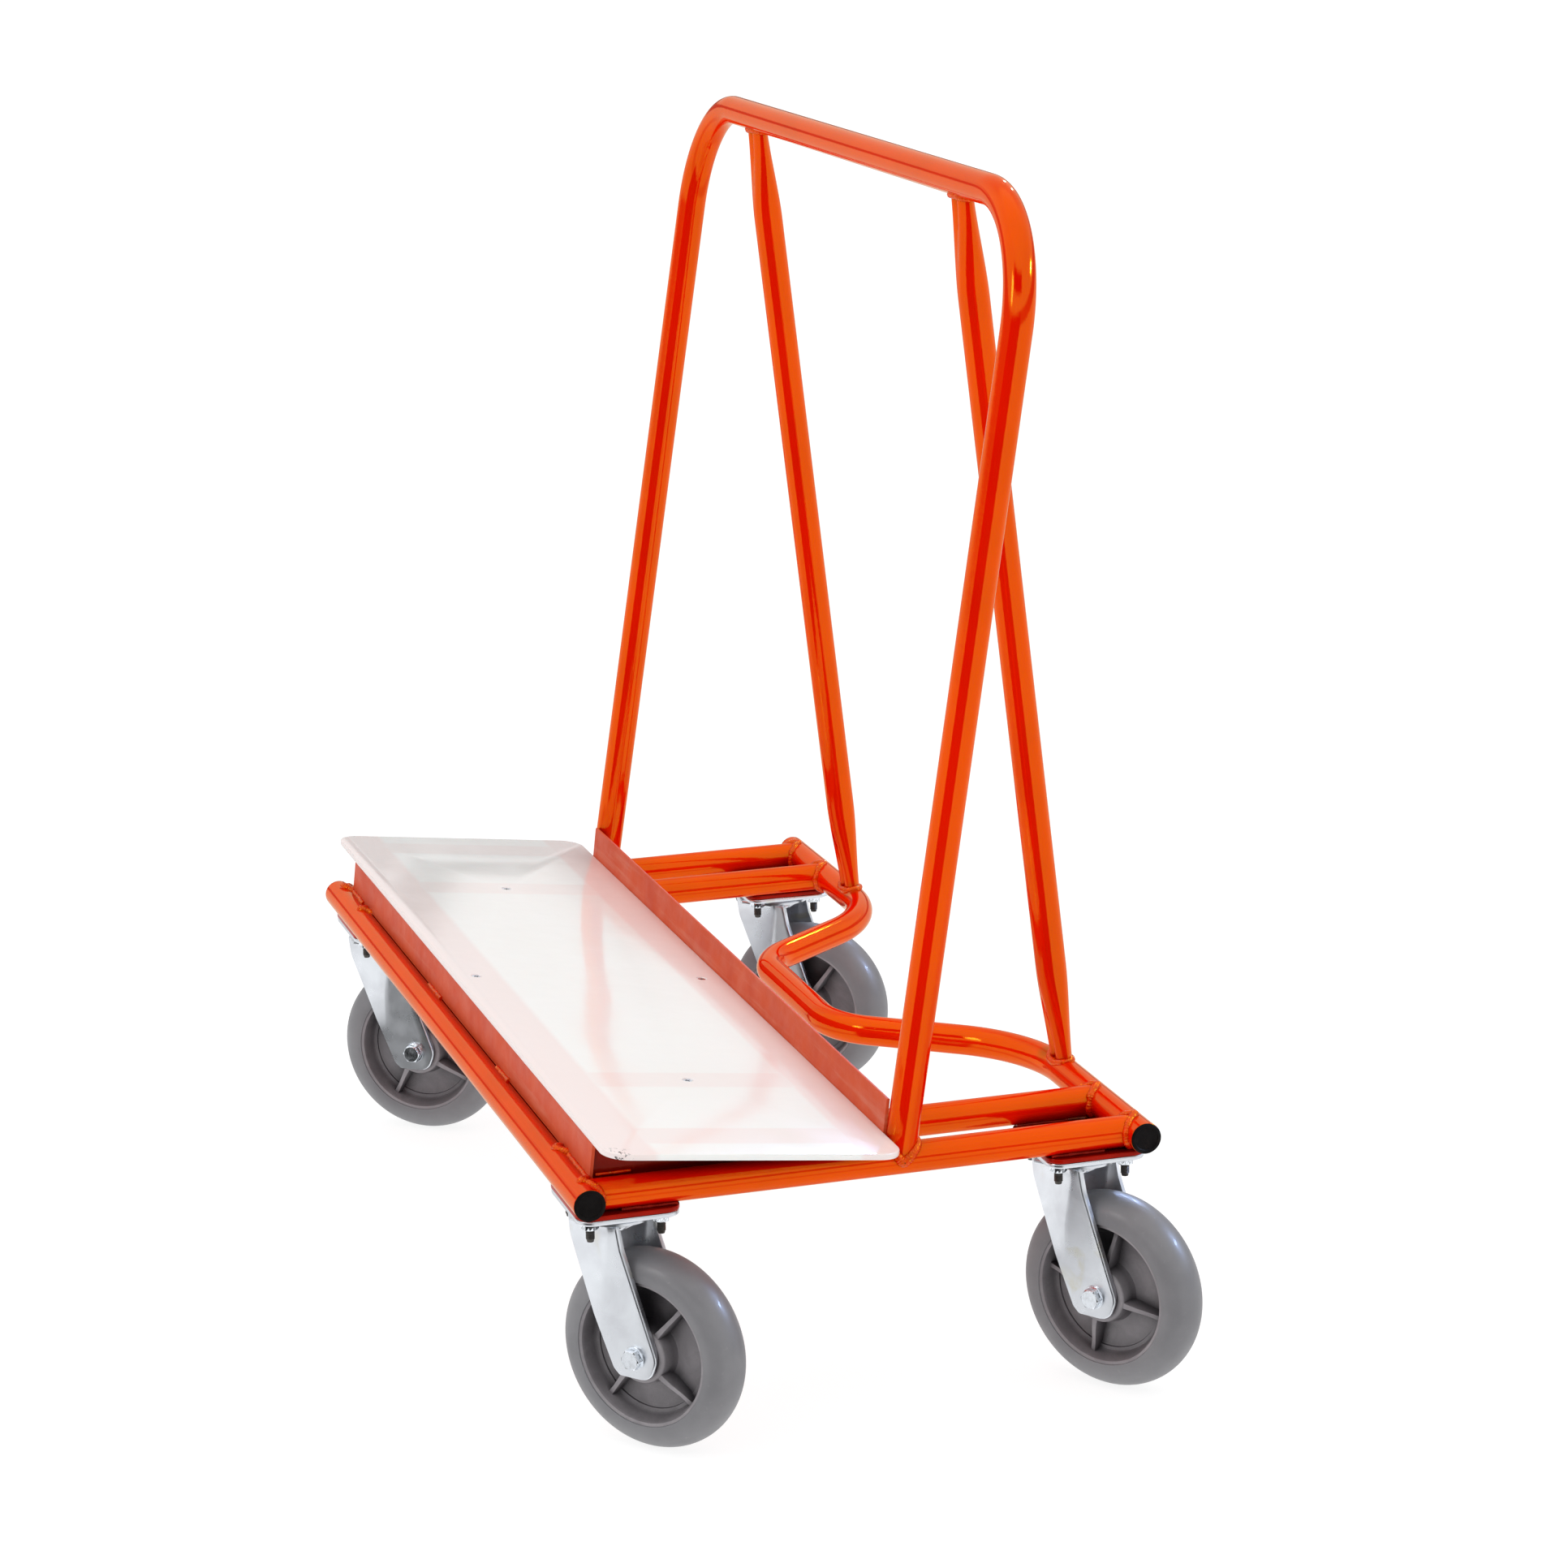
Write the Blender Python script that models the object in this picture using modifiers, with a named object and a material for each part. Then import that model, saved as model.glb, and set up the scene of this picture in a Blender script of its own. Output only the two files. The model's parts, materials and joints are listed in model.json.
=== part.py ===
"""Panel cart: a welded tube frame with a sloping plastic deck, a leaning hoop and four swivel casters.

Units are metres and +Z is up. X runs along the cart, and -Y is the front, the side that is loaded.
"""

import math

import bmesh
import bpy
from mathutils import Matrix, Vector

# Driving dimensions
GAP = 0.0003  # clearance between pieces that touch
TUBE_R = 0.015875
TUBE_WALL = 0.00165
TUBE_BEVEL_RESOLUTION = 6  # gives 16 sides
BASE_Z = 0.2685  # height of the axes of all the base tubes
FRAME_LENGTH = 1.148
RAIL_SPACING = 0.569
CROSS_OUTER_X = 0.545
CROSS_INNER_X = 0.446

RECESS_DEPTH = 0.178
RECESS_TOP_X = 0.262  # where the slanted sides would meet the straight rail
RECESS_FLOOR_X = 0.125  # where they would meet the recess floor
RECESS_OUTER_BEND = 0.165
RECESS_INNER_BEND = 0.085

HOOP_FOOT_Y = 0.036
HOOP_TOP_Y = 0.180
HOOP_RISE = 0.924  # from the base axes to the axis of the top bar
HOOP_TOP_X = 0.538
HOOP_BEND = 0.122

STRUT_FOOT_X = 0.345
STRUT_TOP_X = 0.337
CRIMP_LENGTH = 0.11
CRIMP_HALF = 0.0100  # half the thickness of a flattened end

DECK_LENGTH = 1.2192
DECK_WIDTH = 0.300
DECK_THICKNESS = 0.00635
DECK_CORNER = 0.024
DECK_FRONT_Y = 0.0075 - RAIL_SPACING / 2
DECK_FRONT_Z = BASE_Z + 0.0562  # underside of the sheet at its front edge
DECK_REAR_Z = BASE_Z + 0.0208
DECK_TILT = math.asin((DECK_FRONT_Z - DECK_REAR_Z) / DECK_WIDTH)
SCREW_END_X = 0.372
SCREW_FRONT_V = 0.023
SCREW_REAR_V = 0.276
SCREW_SHANK_R = 0.0023
SCREW_HEAD_R = 0.0048
SCREW_HEAD_HEIGHT = 0.003
SCREW_LENGTH = 0.0125

ANGLE_LEG = 0.0445
ANGLE_THICKNESS = 0.0032
FRONT_WEB_LEG = 0.0424
FRONT_ANGLE_SETBACK = 0.0075  # from the deck's front edge to the web
FRONT_ANGLE_LENGTH = 1.072
REAR_ANGLE_LENGTH = 1.080
REAR_UPSTAND = 0.040  # above the deck's underside
END_PLATE_X = 0.530
END_PLATE_BOTTOM_Z = BASE_Z + 0.0172
BEARER_DROP = 0.022

PLATE_LENGTH = 0.120
PLATE_WIDTH = 0.104
PLATE_THICKNESS = 0.005
PLATE_CORNER = 0.016
TOP_PLATE_INSET = 0.0015
STUD_X = 0.038
STUD_Y = 0.0355
STUD_R = 0.0047
STUD_LENGTH = 0.030  # below the mounting plate

CASTER_X = 0.502
CASTER_Y = 0.2405
# Name of each caster, the signs of its X and Y, and its heading in degrees from +X
CASTERS = (
    ("front_right", 1, -1, 39.3),
    ("rear_right", 1, 1, 34.3),
    ("front_left", -1, -1, 52.2),
    ("rear_left", -1, 1, 47.7),
)
WHEEL_R = 0.1016
WHEEL_SIDES = 28
TREAD_R = 0.0254  # radius of the rounded tread's section
TRAIL = 0.0434
RACEWAY_R = 0.034
RACEWAY_HEIGHT = 0.0095
CROWN_THICKNESS = 0.0055
FORK_INNER_Y = 0.0300
FORK_THICKNESS = 0.0045
KINGPIN_R = 0.007
KINGPIN_HEAD_R = 0.013
KINGPIN_HEAD_HEIGHT = 0.008
TYRE_BORE_R = 0.0738
RIM_THICKNESS = 0.0065
RIM_HALF_WIDTH = 0.0235
HUB_WEB_HALF = 0.005
BOSS_R = 0.030
BOSS_HALF_WIDTH = 0.0292
HUB_BORE_R = 0.0106
RIB_COUNT = 4
RIB_HALF_THICKNESS = 0.0018
RIB_HALF_WIDTH = 0.0185
SLEEVE_R = 0.0101
AXLE_R = 0.00635
HEX_R = 0.0110  # across the corners, halved
HEX_HEIGHT = 0.0075
CAP_DEPTH = 0.018
CAP_WALL = 0.002

# Where the casters' wheels end, which sets the middle of the whole cart's box
WHEEL_REACH = WHEEL_R - TREAD_R


def wheel_extent(along, heading_part):
    """Farthest point of a wheel from the frame's centre, along one axis and its sign."""
    return along + TRAIL * heading_part + WHEEL_REACH * abs(heading_part) + TREAD_R


BOX_MAX_X = max(wheel_extent(CASTER_X, math.cos(math.radians(c[3]))) for c in CASTERS if c[1] > 0)
BOX_MAX_Y = max(wheel_extent(CASTER_Y, math.sin(math.radians(c[3]))) for c in CASTERS if c[2] > 0)
BOX_MIN_X = -DECK_LENGTH / 2
BOX_MIN_Y = -RAIL_SPACING / 2 - TUBE_R
CENTRE = Vector(((BOX_MAX_X + BOX_MIN_X) / 2, (BOX_MAX_Y + BOX_MIN_Y) / 2, 0))

FRONT_Y = -RAIL_SPACING / 2
REAR_Y = RAIL_SPACING / 2


# Scene helpers


def clear_scene():
    for obj in list(bpy.data.objects):
        bpy.data.objects.remove(obj, do_unlink=True)


def new_collection(name):
    collection = bpy.data.collections.new(name)
    bpy.context.scene.collection.children.link(collection)
    return collection


def new_material(name, colour, roughness, metallic=0.0):
    material = bpy.data.materials.new(name)
    material.use_nodes = True
    shader = material.node_tree.nodes["Principled BSDF"]
    shader.inputs["Base Color"].default_value = (*colour, 1)
    shader.inputs["Roughness"].default_value = roughness
    shader.inputs["Metallic"].default_value = metallic
    return material


clear_scene()
CART = new_collection("panel_cart")
CUTTERS = new_collection("cutters")

ORANGE = new_material("orange_powder_coat", (0.90, 0.10, 0.008), 0.28)
SALMON = new_material("orange_matt_coat", (0.66, 0.15, 0.07), 0.6)
SHEET = new_material("white_sheet", (0.93, 0.91, 0.89), 0.25)
ZINC = new_material("zinc_plate", (0.62, 0.65, 0.67), 0.35, 1.0)
STEEL = new_material("bright_steel", (0.55, 0.56, 0.58), 0.3, 1.0)
TYRE_RUBBER = new_material("grey_rubber", (0.17, 0.17, 0.18), 0.6)
HUB_PLASTIC = new_material("grey_hub", (0.10, 0.10, 0.105), 0.5)
CAP_PLASTIC = new_material("black_cap", (0.012, 0.012, 0.013), 0.5)


def empty(name, location, parent=None, heading=0.0):
    obj = bpy.data.objects.new(name, None)
    obj.location = location
    obj.rotation_euler.z = heading
    obj.parent = parent
    CART.objects.link(obj)
    return obj


ROOT = empty("cart_origin", -CENTRE)


def add(name, mesh, material, matrix=None, parent=ROOT):
    """A finished piece from a mesh, placed by a matrix in its parent's space."""
    mesh.materials.clear()
    mesh.materials.append(material)
    mesh.shade_smooth()
    mesh.set_sharp_from_angle(angle=math.radians(35))
    obj = bpy.data.objects.new(name, mesh)
    obj.parent = parent
    obj.matrix_local = matrix or Matrix.Identity(4)
    CART.objects.link(obj)
    return obj


def add_cutter(mesh, matrix=None, parent=ROOT):
    obj = bpy.data.objects.new("cutter", mesh)
    obj.parent = parent
    obj.matrix_local = matrix or Matrix.Identity(4)
    obj.hide_render = True
    obj.display_type = "WIRE"
    CUTTERS.objects.link(obj)
    return obj


def boolean(obj, cutter, operation="DIFFERENCE"):
    modifier = obj.modifiers.new(operation.lower(), "BOOLEAN")
    modifier.operation = operation
    modifier.solver = "EXACT"
    modifier.object = cutter


def bevel(obj, width, segments=2):
    modifier = obj.modifiers.new("rounded_edges", "BEVEL")
    modifier.width = width
    modifier.segments = segments
    modifier.limit_method = "ANGLE"


# Shape helpers


def mesh_of(obj):
    """The evaluated mesh of a temporary object, welded. The object is removed."""
    CART.objects.link(obj)
    bpy.context.view_layer.update()
    graph = bpy.context.evaluated_depsgraph_get()
    mesh = bpy.data.meshes.new_from_object(obj.evaluated_get(graph))
    bpy.data.objects.remove(obj, do_unlink=True)
    shape = bmesh.new()
    shape.from_mesh(mesh)
    bmesh.ops.remove_doubles(shape, verts=shape.verts, dist=1e-6)
    bmesh.ops.recalc_face_normals(shape, faces=shape.faces)
    shape.to_mesh(mesh)
    shape.free()
    return mesh


def spline_curve(name, points, cyclic=False):
    curve = bpy.data.curves.new(name, "CURVE")
    spline = curve.splines.new("POLY")
    spline.points.add(len(points) - 1)
    for target, point in zip(spline.points, points):
        target.co = (*Vector(point).to_3d(), 1)
    spline.use_cyclic_u = cyclic
    return curve


def tube_mesh(points, radius=TUBE_R, wall=TUBE_WALL):
    """A hollow tube with open ends along a line of points, or a solid bar when wall is 0."""
    curve = spline_curve("tube", points)
    curve.dimensions = "3D"
    curve.bevel_depth = radius
    curve.bevel_resolution = TUBE_BEVEL_RESOLUTION
    curve.use_fill_caps = wall == 0
    obj = bpy.data.objects.new("tube", curve)
    if wall:
        shell = obj.modifiers.new("wall", "SOLIDIFY")
        shell.thickness = wall
        shell.offset = -1
    return mesh_of(obj)


def outline_mesh(points, thickness):
    """A flat outline in its local XY plane, with half its thickness on each side."""
    curve = spline_curve("outline", points, cyclic=True)
    curve.dimensions = "2D"
    curve.fill_mode = "BOTH"
    curve.extrude = thickness / 2
    return mesh_of(bpy.data.objects.new("outline", curve))


def rounded(points, radii, steps=4, closed=True):
    """The line of points with each corner made an arc of its own radius."""
    result = []
    count = len(points)
    for i, (corner, radius) in enumerate(zip(points, radii)):
        corner = Vector(corner)
        if not radius or (not closed and i in (0, count - 1)):
            result.append(corner)
            continue
        back = (Vector(points[i - 1]) - corner).normalized()
        ahead = (Vector(points[(i + 1) % count]) - corner).normalized()
        half = back.angle(ahead) / 2
        bisector = (back + ahead).normalized()
        centre = corner + bisector * (radius / math.sin(half))
        start = corner + back * (radius / math.tan(half)) - centre
        end = corner + ahead * (radius / math.tan(half)) - centre
        sweep = start.angle(end)
        for step in range(steps + 1):
            t = step / steps
            mix = start * math.sin((1 - t) * sweep) + end * math.sin(t * sweep)
            result.append(centre + mix / math.sin(sweep))
    return result


def rounded_rectangle(length, width, radius, steps=4):
    corners = [Vector((x * length / 2, y * width / 2)) for x, y in ((-1, -1), (1, -1), (1, 1), (-1, 1))]
    return rounded(corners, [radius] * 4, steps)


def cylinder_mesh(radius, z0, z1, segments=16, top_radius=None):
    shape = bmesh.new()
    bmesh.ops.create_cone(
        shape,
        cap_ends=True,
        segments=segments,
        radius1=radius,
        radius2=radius if top_radius is None else top_radius,
        depth=z1 - z0,
        matrix=Matrix.Translation((0, 0, (z0 + z1) / 2)),
    )
    mesh = bpy.data.meshes.new("cylinder")
    shape.to_mesh(mesh)
    shape.free()
    return mesh


def turned_mesh(profile, steps):
    """A solid of revolution about Z, from a closed profile of (radius, height) that runs down its outside."""
    mesh = bpy.data.meshes.new("profile")
    count = len(profile)
    edges = [(i, (i + 1) % count) for i in range(count)]
    mesh.from_pydata([(r, 0, z) for r, z in profile], edges, [])
    obj = bpy.data.objects.new("turned", mesh)
    screw = obj.modifiers.new("turn", "SCREW")
    screw.steps = steps
    screw.render_steps = steps
    screw.use_merge_vertices = True
    screw.merge_threshold = 0.00001
    return mesh_of(obj)


def box_mesh(low, high):
    shape = bmesh.new()
    bmesh.ops.create_cube(shape, size=1)
    low, high = Vector(low), Vector(high)
    bmesh.ops.scale(shape, vec=high - low, verts=shape.verts)
    bmesh.ops.translate(shape, vec=(low + high) / 2, verts=shape.verts)
    mesh = bpy.data.meshes.new("box")
    shape.to_mesh(mesh)
    shape.free()
    return mesh


# Tube routes


def front_rail_route():
    half = FRAME_LENGTH / 2
    return [Vector((x, FRONT_Y, BASE_Z)) for x in (-half, half)]


def rear_rail_route():
    """Straight at both ends, with a recess for the user's feet between two S-bends."""
    floor_y = REAR_Y - RECESS_DEPTH
    half = FRAME_LENGTH / 2
    left = [(-half, REAR_Y), (-RECESS_TOP_X, REAR_Y), (-RECESS_FLOOR_X, floor_y)]
    right = [(-x, y) for x, y in reversed(left)]
    corners = [Vector((x, y, BASE_Z)) for x, y in left + right]
    radii = (0, RECESS_OUTER_BEND, RECESS_INNER_BEND, RECESS_INNER_BEND, RECESS_OUTER_BEND, 0)
    return rounded(corners, radii, steps=7, closed=False)


def cross_rail_route(x):
    return [Vector((x, y, BASE_Z)) for y in (FRONT_Y, REAR_Y)]


def hoop_route():
    corners = [
        Vector((-CROSS_OUTER_X, HOOP_FOOT_Y, BASE_Z)),
        Vector((-HOOP_TOP_X, HOOP_TOP_Y, BASE_Z + HOOP_RISE)),
        Vector((HOOP_TOP_X, HOOP_TOP_Y, BASE_Z + HOOP_RISE)),
        Vector((CROSS_OUTER_X, HOOP_FOOT_Y, BASE_Z)),
    ]
    return rounded(corners, (0, HOOP_BEND, HOOP_BEND, 0), steps=8, closed=False)


FRONT_RAIL_SPACE = add_cutter(tube_mesh(front_rail_route(), TUBE_R + GAP, 0))
REAR_RAIL_SPACE = add_cutter(tube_mesh(rear_rail_route(), TUBE_R + GAP, 0))
HOOP_SPACE = add_cutter(tube_mesh(hoop_route(), TUBE_R + GAP, 0))
CROSS_SPACES = {
    x: add_cutter(tube_mesh(cross_rail_route(x), TUBE_R + GAP, 0))
    for x in (-CROSS_OUTER_X, -CROSS_INNER_X, CROSS_INNER_X, CROSS_OUTER_X)
}


# Frame


def base_frame():
    add("front_rail", tube_mesh(front_rail_route()), ORANGE)
    add("rear_rail", tube_mesh(rear_rail_route()), ORANGE)
    for side, side_name in ((1, "right"), (-1, "left")):
        for x, place in ((CROSS_OUTER_X, "outer"), (CROSS_INNER_X, "inner")):
            rail = add(f"cross_rail_{side_name}_{place}", tube_mesh(cross_rail_route(side * x)), ORANGE)
            boolean(rail, FRONT_RAIL_SPACE)
            boolean(rail, REAR_RAIL_SPACE)


def hoop():
    handle = add("hoop_handle", tube_mesh(hoop_route()), ORANGE)
    for x in (-CROSS_OUTER_X, CROSS_OUTER_X):
        boolean(handle, CROSS_SPACES[x])


def crimped_tube_mesh(start, end, stations=6, sides=16):
    """A tube from start to end whose ends are squeezed to an oval that is widest along X."""
    start, end = Vector(start), Vector(end)
    length = (end - start).length
    axis = (end - start).normalized()
    across = axis.cross(Vector((1, 0, 0))).normalized()
    wide = across.cross(axis).normalized()
    squeeze = [CRIMP_LENGTH * i / stations for i in range(stations + 1)]
    distances = squeeze + [length - d for d in reversed(squeeze)]
    shape = bmesh.new()
    walls = []
    for inset in (0, TUBE_WALL):
        rings = []
        for distance in distances:
            t = min(distance, length - distance) / CRIMP_LENGTH
            t = min(max(t, 0), 1)
            ease = t * t * (3 - 2 * t)
            thin = CRIMP_HALF + (TUBE_R - CRIMP_HALF) * ease
            broad = math.sqrt(2 * TUBE_R**2 - thin**2)
            centre = start + axis * distance
            angles = [2 * math.pi * k / sides for k in range(sides)]
            offsets = [
                wide * (broad - inset) * math.cos(a) + across * (thin - inset) * math.sin(a) for a in angles
            ]
            rings.append([shape.verts.new(centre + offset) for offset in offsets])
        walls.append(rings)
    outer, inner = walls

    def skin(first, second):
        for k in range(sides):
            following = (k + 1) % sides
            shape.faces.new((first[k], first[following], second[following], second[k]))

    for rings in walls:
        for first, second in zip(rings, rings[1:]):
            skin(first, second)
    skin(outer[0], inner[0])
    skin(outer[-1], inner[-1])
    bmesh.ops.recalc_face_normals(shape, faces=shape.faces)
    mesh = bpy.data.meshes.new("crimped_tube")
    shape.to_mesh(mesh)
    shape.free()
    return mesh


def rear_struts():
    for side, side_name in ((1, "right"), (-1, "left")):
        foot = (side * STRUT_FOOT_X, REAR_Y, BASE_Z)
        top = (side * STRUT_TOP_X, HOOP_TOP_Y, BASE_Z + HOOP_RISE)
        strut = add(f"rear_strut_{side_name}", crimped_tube_mesh(foot, top), ORANGE)
        boolean(strut, REAR_RAIL_SPACE)
        boolean(strut, HOOP_SPACE)


# Deck and what carries it, in the deck's own sloping space: Y runs back along the underside, Z is its normal

DECK_SPACE = Matrix.Translation((0, DECK_FRONT_Y, DECK_FRONT_Z)) @ Matrix.Rotation(-DECK_TILT, 4, "X")
ALONG_X = Matrix(((0, 0, 1, 0), (1, 0, 0, 0), (0, 1, 0, 0), (0, 0, 0, 1)))  # outline XY to YZ, extrusion to X
SCREWS = (
    ("right", SCREW_END_X, DECK_WIDTH / 2),
    ("left", -SCREW_END_X, DECK_WIDTH / 2),
    ("front", 0, SCREW_FRONT_V),
    ("rear", 0, SCREW_REAR_V),
)


def deck_point_z(v, height):
    """World height of a point of the deck's space."""
    return (DECK_SPACE @ Vector((0, v, height))).z


def screw_hole(x, v):
    hole = cylinder_mesh(SCREW_SHANK_R + GAP, -0.02, 0.02, 12)
    return add_cutter(hole, DECK_SPACE @ Matrix.Translation((x, v, 0)))


SCREW_HOLES = {name: screw_hole(x, v) for name, x, v in SCREWS}


def deck_sheet():
    outline = rounded_rectangle(DECK_LENGTH, DECK_WIDTH, DECK_CORNER)
    place = DECK_SPACE @ Matrix.Translation((0, DECK_WIDTH / 2, DECK_THICKNESS / 2))
    sheet = add("deck_sheet", outline_mesh(outline, DECK_THICKNESS), SHEET, place)
    for name, x, v in SCREWS:
        boolean(sheet, SCREW_HOLES[name])
        sink = cylinder_mesh(
            SCREW_SHANK_R, DECK_THICKNESS - SCREW_HEAD_HEIGHT - GAP, DECK_THICKNESS + 0.001, 12,
            SCREW_HEAD_R + 2 * GAP + 0.001,
        )
        boolean(sheet, add_cutter(sink, DECK_SPACE @ Matrix.Translation((x, v, 0))))


def deck_screws():
    top = DECK_THICKNESS - GAP
    neck = top - SCREW_HEAD_HEIGHT
    profile = [(0, top), (SCREW_HEAD_R, top), (SCREW_SHANK_R - GAP, neck)]
    profile += [(SCREW_SHANK_R - GAP, top - SCREW_LENGTH), (0, top - SCREW_LENGTH)]
    for name, x, v in SCREWS:
        place = DECK_SPACE @ Matrix.Translation((x, v, 0))
        add(f"deck_screw_{name}", turned_mesh(profile, 12), STEEL, place)


def front_angle():
    y0 = FRONT_ANGLE_SETBACK
    outline = [
        (y0, -GAP - FRONT_WEB_LEG),
        (y0 + ANGLE_THICKNESS, -GAP - FRONT_WEB_LEG),
        (y0 + ANGLE_THICKNESS, -GAP - ANGLE_THICKNESS),
        (y0 + ANGLE_LEG, -GAP - ANGLE_THICKNESS),
        (y0 + ANGLE_LEG, -GAP),
        (y0, -GAP),
    ]
    angle = add("front_angle", outline_mesh(outline, FRONT_ANGLE_LENGTH), SALMON, DECK_SPACE @ ALONG_X)
    boolean(angle, SCREW_HOLES["front"])
    for space in CROSS_SPACES.values():
        boolean(angle, space)


def rear_angle():
    y1 = DECK_WIDTH + GAP
    y2 = y1 + ANGLE_THICKNESS
    y0 = y2 - ANGLE_LEG
    outline = [
        (y0, -GAP - ANGLE_THICKNESS),
        (y2, -GAP - ANGLE_THICKNESS),
        (y2, REAR_UPSTAND),
        (y1, REAR_UPSTAND),
        (y1, -GAP),
        (y0, -GAP),
    ]
    angle = add("rear_angle", outline_mesh(outline, REAR_ANGLE_LENGTH), SALMON, DECK_SPACE @ ALONG_X)
    boolean(angle, SCREW_HOLES["rear"])
    boolean(angle, HOOP_SPACE)


def between_flanges():
    """Where the crosswise pieces lie in the deck's space: behind the front flange, ahead of the rear one."""
    front = FRONT_ANGLE_SETBACK + ANGLE_LEG + GAP
    rear = DECK_WIDTH + GAP + ANGLE_THICKNESS - ANGLE_LEG - GAP
    return front, rear


def flange_mesh(x0, x1):
    front, rear = between_flanges()
    return box_mesh((x0, front, -GAP - ANGLE_THICKNESS), (x1, rear, -GAP))


def deck_bearers():
    front, rear = between_flanges()
    for side, side_name in ((1, "right"), (-1, "left")):
        x0 = side * SCREW_END_X - ANGLE_LEG / 2
        bearer = add(f"deck_bearer_{side_name}", flange_mesh(x0, x0 + ANGLE_LEG), SALMON, DECK_SPACE)
        rib = box_mesh((x0, front, -BEARER_DROP), (x0 + ANGLE_THICKNESS, rear, -GAP - ANGLE_THICKNESS / 2))
        boolean(bearer, add_cutter(rib, DECK_SPACE), "UNION")
        boolean(bearer, SCREW_HOLES[side_name])


def end_plates():
    """A flange under each end of the deck, with a wedge that fills the space down to the cross rail."""
    front, rear = between_flanges()
    bottom = END_PLATE_BOTTOM_Z
    under = -2 * GAP - ANGLE_THICKNESS
    inside = -GAP - ANGLE_THICKNESS / 2
    web_back = FRONT_ANGLE_SETBACK + ANGLE_THICKNESS + GAP
    top_edge = [(web_back, under), (front + GAP, under), (front + GAP, inside)]
    top_edge += [(rear - GAP, inside), (rear - GAP, under), (rear + 0.012, under)]
    points = [DECK_SPACE @ Vector((0, v, w)) for v, w in top_edge]
    wedge = [(p.y, p.z) for p in points]
    wedge += [(points[-1].y, bottom), (points[0].y + math.tan(DECK_TILT) * 0.003, bottom)]
    for side, side_name in ((1, "right"), (-1, "left")):
        x0 = END_PLATE_X if side > 0 else -END_PLATE_X - ANGLE_LEG
        plate = add(f"end_plate_{side_name}", flange_mesh(x0, x0 + ANGLE_LEG), SALMON, DECK_SPACE)
        place = Matrix.Translation((side * (END_PLATE_X + ANGLE_THICKNESS / 2), 0, 0)) @ ALONG_X
        boolean(plate, add_cutter(outline_mesh(wedge, ANGLE_THICKNESS), place), "UNION")


def end_caps():
    radius = TUBE_R - TUBE_WALL - 2 * GAP
    bore = radius - CAP_WALL
    profile = [(0, -GAP), (radius, -GAP), (radius, -CAP_DEPTH), (bore, -CAP_DEPTH), (bore, -CAP_WALL), (0, -CAP_WALL)]
    mesh = turned_mesh(profile, 16)
    outward = {1: Matrix.Rotation(math.radians(90), 4, "Y"), -1: Matrix.Rotation(math.radians(-90), 4, "Y")}
    for y, rail in ((FRONT_Y, "front"), (REAR_Y, "rear")):
        for side, side_name in ((1, "right"), (-1, "left")):
            place = Matrix.Translation((side * FRAME_LENGTH / 2, y, BASE_Z)) @ outward[side]
            add(f"end_cap_{rail}_{side_name}", mesh.copy(), CAP_PLASTIC, place)


# Casters

MOUNTING_TOP = BASE_Z - TUBE_R - GAP
MOUNTING_BOTTOM = MOUNTING_TOP - PLATE_THICKNESS
TOP_PLATE_TOP = MOUNTING_BOTTOM - GAP
TOP_PLATE_BOTTOM = TOP_PLATE_TOP - PLATE_THICKNESS
RACEWAY_BOTTOM = TOP_PLATE_BOTTOM - RACEWAY_HEIGHT
CROWN_TOP = RACEWAY_BOTTOM - GAP
CROWN_BOTTOM = CROWN_TOP - CROWN_THICKNESS
FORK_OUTER_Y = FORK_INNER_Y + FORK_THICKNESS
UPRIGHT = Matrix.Rotation(math.radians(90), 4, "X")  # outline XY to XZ, and Z to -Y


def stud_places():
    return [Matrix.Translation((x * STUD_X, y * STUD_Y, 0)) for x in (-1, 1) for y in (-1, 1)]


def mounting_plate(name, place):
    """The frame's plate, with four studs welded to it that hold the caster."""
    outline = rounded_rectangle(PLATE_LENGTH, PLATE_WIDTH, PLATE_CORNER, 3)
    middle = Matrix.Translation((0, 0, (MOUNTING_TOP + MOUNTING_BOTTOM) / 2))
    plate = add(f"mounting_plate_{name}", outline_mesh(outline, PLATE_THICKNESS), ORANGE, place @ middle)
    for stud in stud_places():
        shank = cylinder_mesh(STUD_R, MOUNTING_BOTTOM - STUD_LENGTH, MOUNTING_BOTTOM + 0.002, 10)
        boolean(plate, add_cutter(shank, place @ stud), "UNION")


def top_plate(name, place):
    """The caster's own plate, with the upper raceway under it."""
    length = PLATE_LENGTH - 2 * TOP_PLATE_INSET
    width = PLATE_WIDTH - 2 * TOP_PLATE_INSET
    outline = rounded_rectangle(length, width, PLATE_CORNER, 3)
    middle = Matrix.Translation((0, 0, (TOP_PLATE_TOP + TOP_PLATE_BOTTOM) / 2))
    plate = add(f"top_plate_{name}", outline_mesh(outline, PLATE_THICKNESS), ZINC, place @ middle)
    raceway = cylinder_mesh(RACEWAY_R - 0.003, RACEWAY_BOTTOM, TOP_PLATE_BOTTOM + 0.002, 20, RACEWAY_R)
    boolean(plate, add_cutter(raceway, place), "UNION")
    bore = cylinder_mesh(KINGPIN_R + GAP, RACEWAY_BOTTOM - 0.01, TOP_PLATE_TOP + 0.01, 12)
    boolean(plate, add_cutter(bore, place))
    for stud in stud_places():
        hole = cylinder_mesh(STUD_R + 2 * GAP, TOP_PLATE_BOTTOM - 0.002, TOP_PLATE_TOP + 0.002, 10)
        boolean(plate, add_cutter(hole, place @ stud))


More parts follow.
